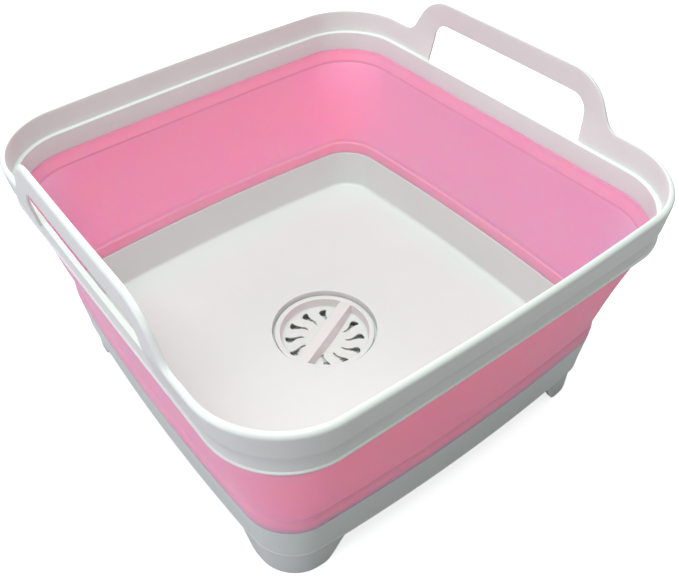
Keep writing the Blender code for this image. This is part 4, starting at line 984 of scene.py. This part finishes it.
def slotted_disc():
    """The basket's dished disc: Geometry Nodes turn the flame round it and cut every slot."""
    builder = bmesh.new()
    levels = [(1.0, DISC_UNDER_Z)]
    for step in range(DISH_RINGS):
        share = 1 - step / DISH_RINGS
        levels.append((share, DISH_Z - DISH_SAG * (1 - share ** 2)))
    rings = [[builder.verts.new(circle_point(DISC_R * share, turn, height))
              for turn in range(ROUND_STEPS)] for share, height in levels]
    for ring, following in zip(rings, rings[1:]):
        for turn in range(ROUND_STEPS):
            after = (turn + 1) % ROUND_STEPS
            builder.faces.new((ring[turn], ring[after], following[after], following[turn]))
    builder.faces.new(rings[0])
    builder.faces.new(rings[-1])
    blank = finished_piece("disc_blank", builder, BASKET_WHITE)
    cutter = flame_cutter()
    tree = bpy.data.node_groups.new("flame_slots_round_a_disc", "GeometryNodeTree")
    tree.interface.new_socket("Geometry", in_out="INPUT", socket_type="NodeSocketGeometry")
    wanted = {}
    for label, kind in (("Slot", "NodeSocketObject"), ("Slot count", "NodeSocketInt"),
                        ("First slot angle", "NodeSocketFloat"), ("Finish", "NodeSocketMaterial")):
        wanted[label] = tree.interface.new_socket(label, in_out="INPUT", socket_type=kind)
    tree.interface.new_socket("Geometry", in_out="OUTPUT", socket_type="NodeSocketGeometry")
    given = add_node(tree, "NodeGroupInput", {}, {})
    flame = add_node(tree, "GeometryNodeObjectInfo", {"transform_space": "RELATIVE"},
                     {"Object": given.outputs["Slot"]})
    spots = add_node(tree, "GeometryNodeMeshLine", {"mode": "OFFSET"},
                     {"Count": given.outputs["Slot count"], "Offset": (0.0, 0.0, 0.0)})
    order = add_node(tree, "GeometryNodeInputIndex", {}, {})
    pitch = add_node(tree, "ShaderNodeMath", {"operation": "DIVIDE"},
                     {0: 2 * math.pi, 1: given.outputs["Slot count"]})
    angle = add_node(tree, "ShaderNodeMath", {"operation": "MULTIPLY_ADD"},
                     {0: order.outputs[0], 1: pitch.outputs[0],
                      2: given.outputs["First slot angle"]})
    facing = add_node(tree, "ShaderNodeCombineXYZ", {}, {"Z": angle.outputs[0]})
    placed = add_node(tree, "GeometryNodeInstanceOnPoints", {},
                      {"Points": spots.outputs[0], "Instance": flame.outputs["Geometry"],
                       "Rotation": facing.outputs[0]})
    cutters = add_node(tree, "GeometryNodeRealizeInstances", {}, {0: placed.outputs[0]})
    cut = add_node(tree, "GeometryNodeMeshBoolean", {"operation": "DIFFERENCE", "solver": "EXACT"},
                   {0: given.outputs["Geometry"], 1: cutters.outputs[0]})
    solid = add_node(tree, "GeometryNodeRealizeInstances", {}, {0: cut.outputs[0]})
    finished = add_node(tree, "GeometryNodeSetMaterial", {},
                        {"Geometry": solid.outputs[0], "Material": given.outputs["Finish"]})
    add_node(tree, "NodeGroupOutput", {}, {0: finished.outputs[0]})
    modifier = blank.modifiers.new("flame_slots", "NODES")
    modifier.node_group = tree
    modifier[wanted["Slot"].identifier] = cutter
    modifier[wanted["Slot count"].identifier] = SLOT_COUNT
    modifier[wanted["First slot angle"].identifier] = SLOT_PHASE
    modifier[wanted["Finish"].identifier] = BASKET_WHITE
    bevel = blank.modifiers.new("slot_edges", "BEVEL")
    bevel.width = SLOT_EDGE_R
    bevel.segments = 2
    bevel.limit_method = "ANGLE"
    bevel.angle_limit = math.radians(50)
    bevel.use_clamp_overlap = False
    bpy.context.view_layer.update()
    graph = bpy.context.evaluated_depsgraph_get()
    mesh = bpy.data.meshes.new_from_object(blank.evaluated_get(graph))
    bpy.data.objects.remove(blank, do_unlink=True)
    bpy.data.objects.remove(cutter, do_unlink=True)
    mesh.name = "strainer_disc"
    mesh.shade_smooth()
    mesh.set_sharp_from_angle(angle=math.radians(30))
    disc = bpy.data.objects.new("strainer_disc", mesh)
    bpy.context.scene.collection.objects.link(disc)
    return disc


def grip_bar():
    """The bar across the cup, wider at its foot and most so in its middle, with soft edges."""
    along = Vector((math.cos(GRIP_ANGLE), math.sin(GRIP_ANGLE), 0))
    side = Vector((-along.y, along.x, 0))
    top_z = BASKET_TOP_Z - GRIP_DROP
    foot_z = DISC_UNDER_Z + 0.4 * MM
    builder = bmesh.new()
    rows = []
    for step in range(-GRIP_STEPS, GRIP_STEPS + 1):
        reach = GRIP_HALF_LENGTH * step / GRIP_STEPS
        flare = GRIP_FLARE + GRIP_MIDDLE_FLARE * (1 - (step / GRIP_STEPS) ** 2)
        section = softened([
            (-GRIP_WIDTH / 2, top_z, 0.8 * MM),
            (-GRIP_WIDTH / 2 - flare, foot_z, 0.0),
            (GRIP_WIDTH / 2 + flare, foot_z, 0.0),
            (GRIP_WIDTH / 2, top_z, 0.8 * MM),
        ])
        rows.append([builder.verts.new(along * reach + side * across + Vector((0, 0, height)))
                     for across, height in section])
    for row, following in zip(rows, rows[1:]):
        for step in range(len(row)):
            after = (step + 1) % len(row)
            builder.faces.new((row[step], row[after], following[after], following[step]))
    builder.faces.new(rows[0])
    builder.faces.new(rows[-1])
    return finished_piece("strainer_grip", builder, BASKET_WHITE)


basket_parts = [cup_and_ring(), slotted_disc(), grip_bar()]
for piece in basket_parts:
    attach(piece, "basket")
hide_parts("strainer_basket")
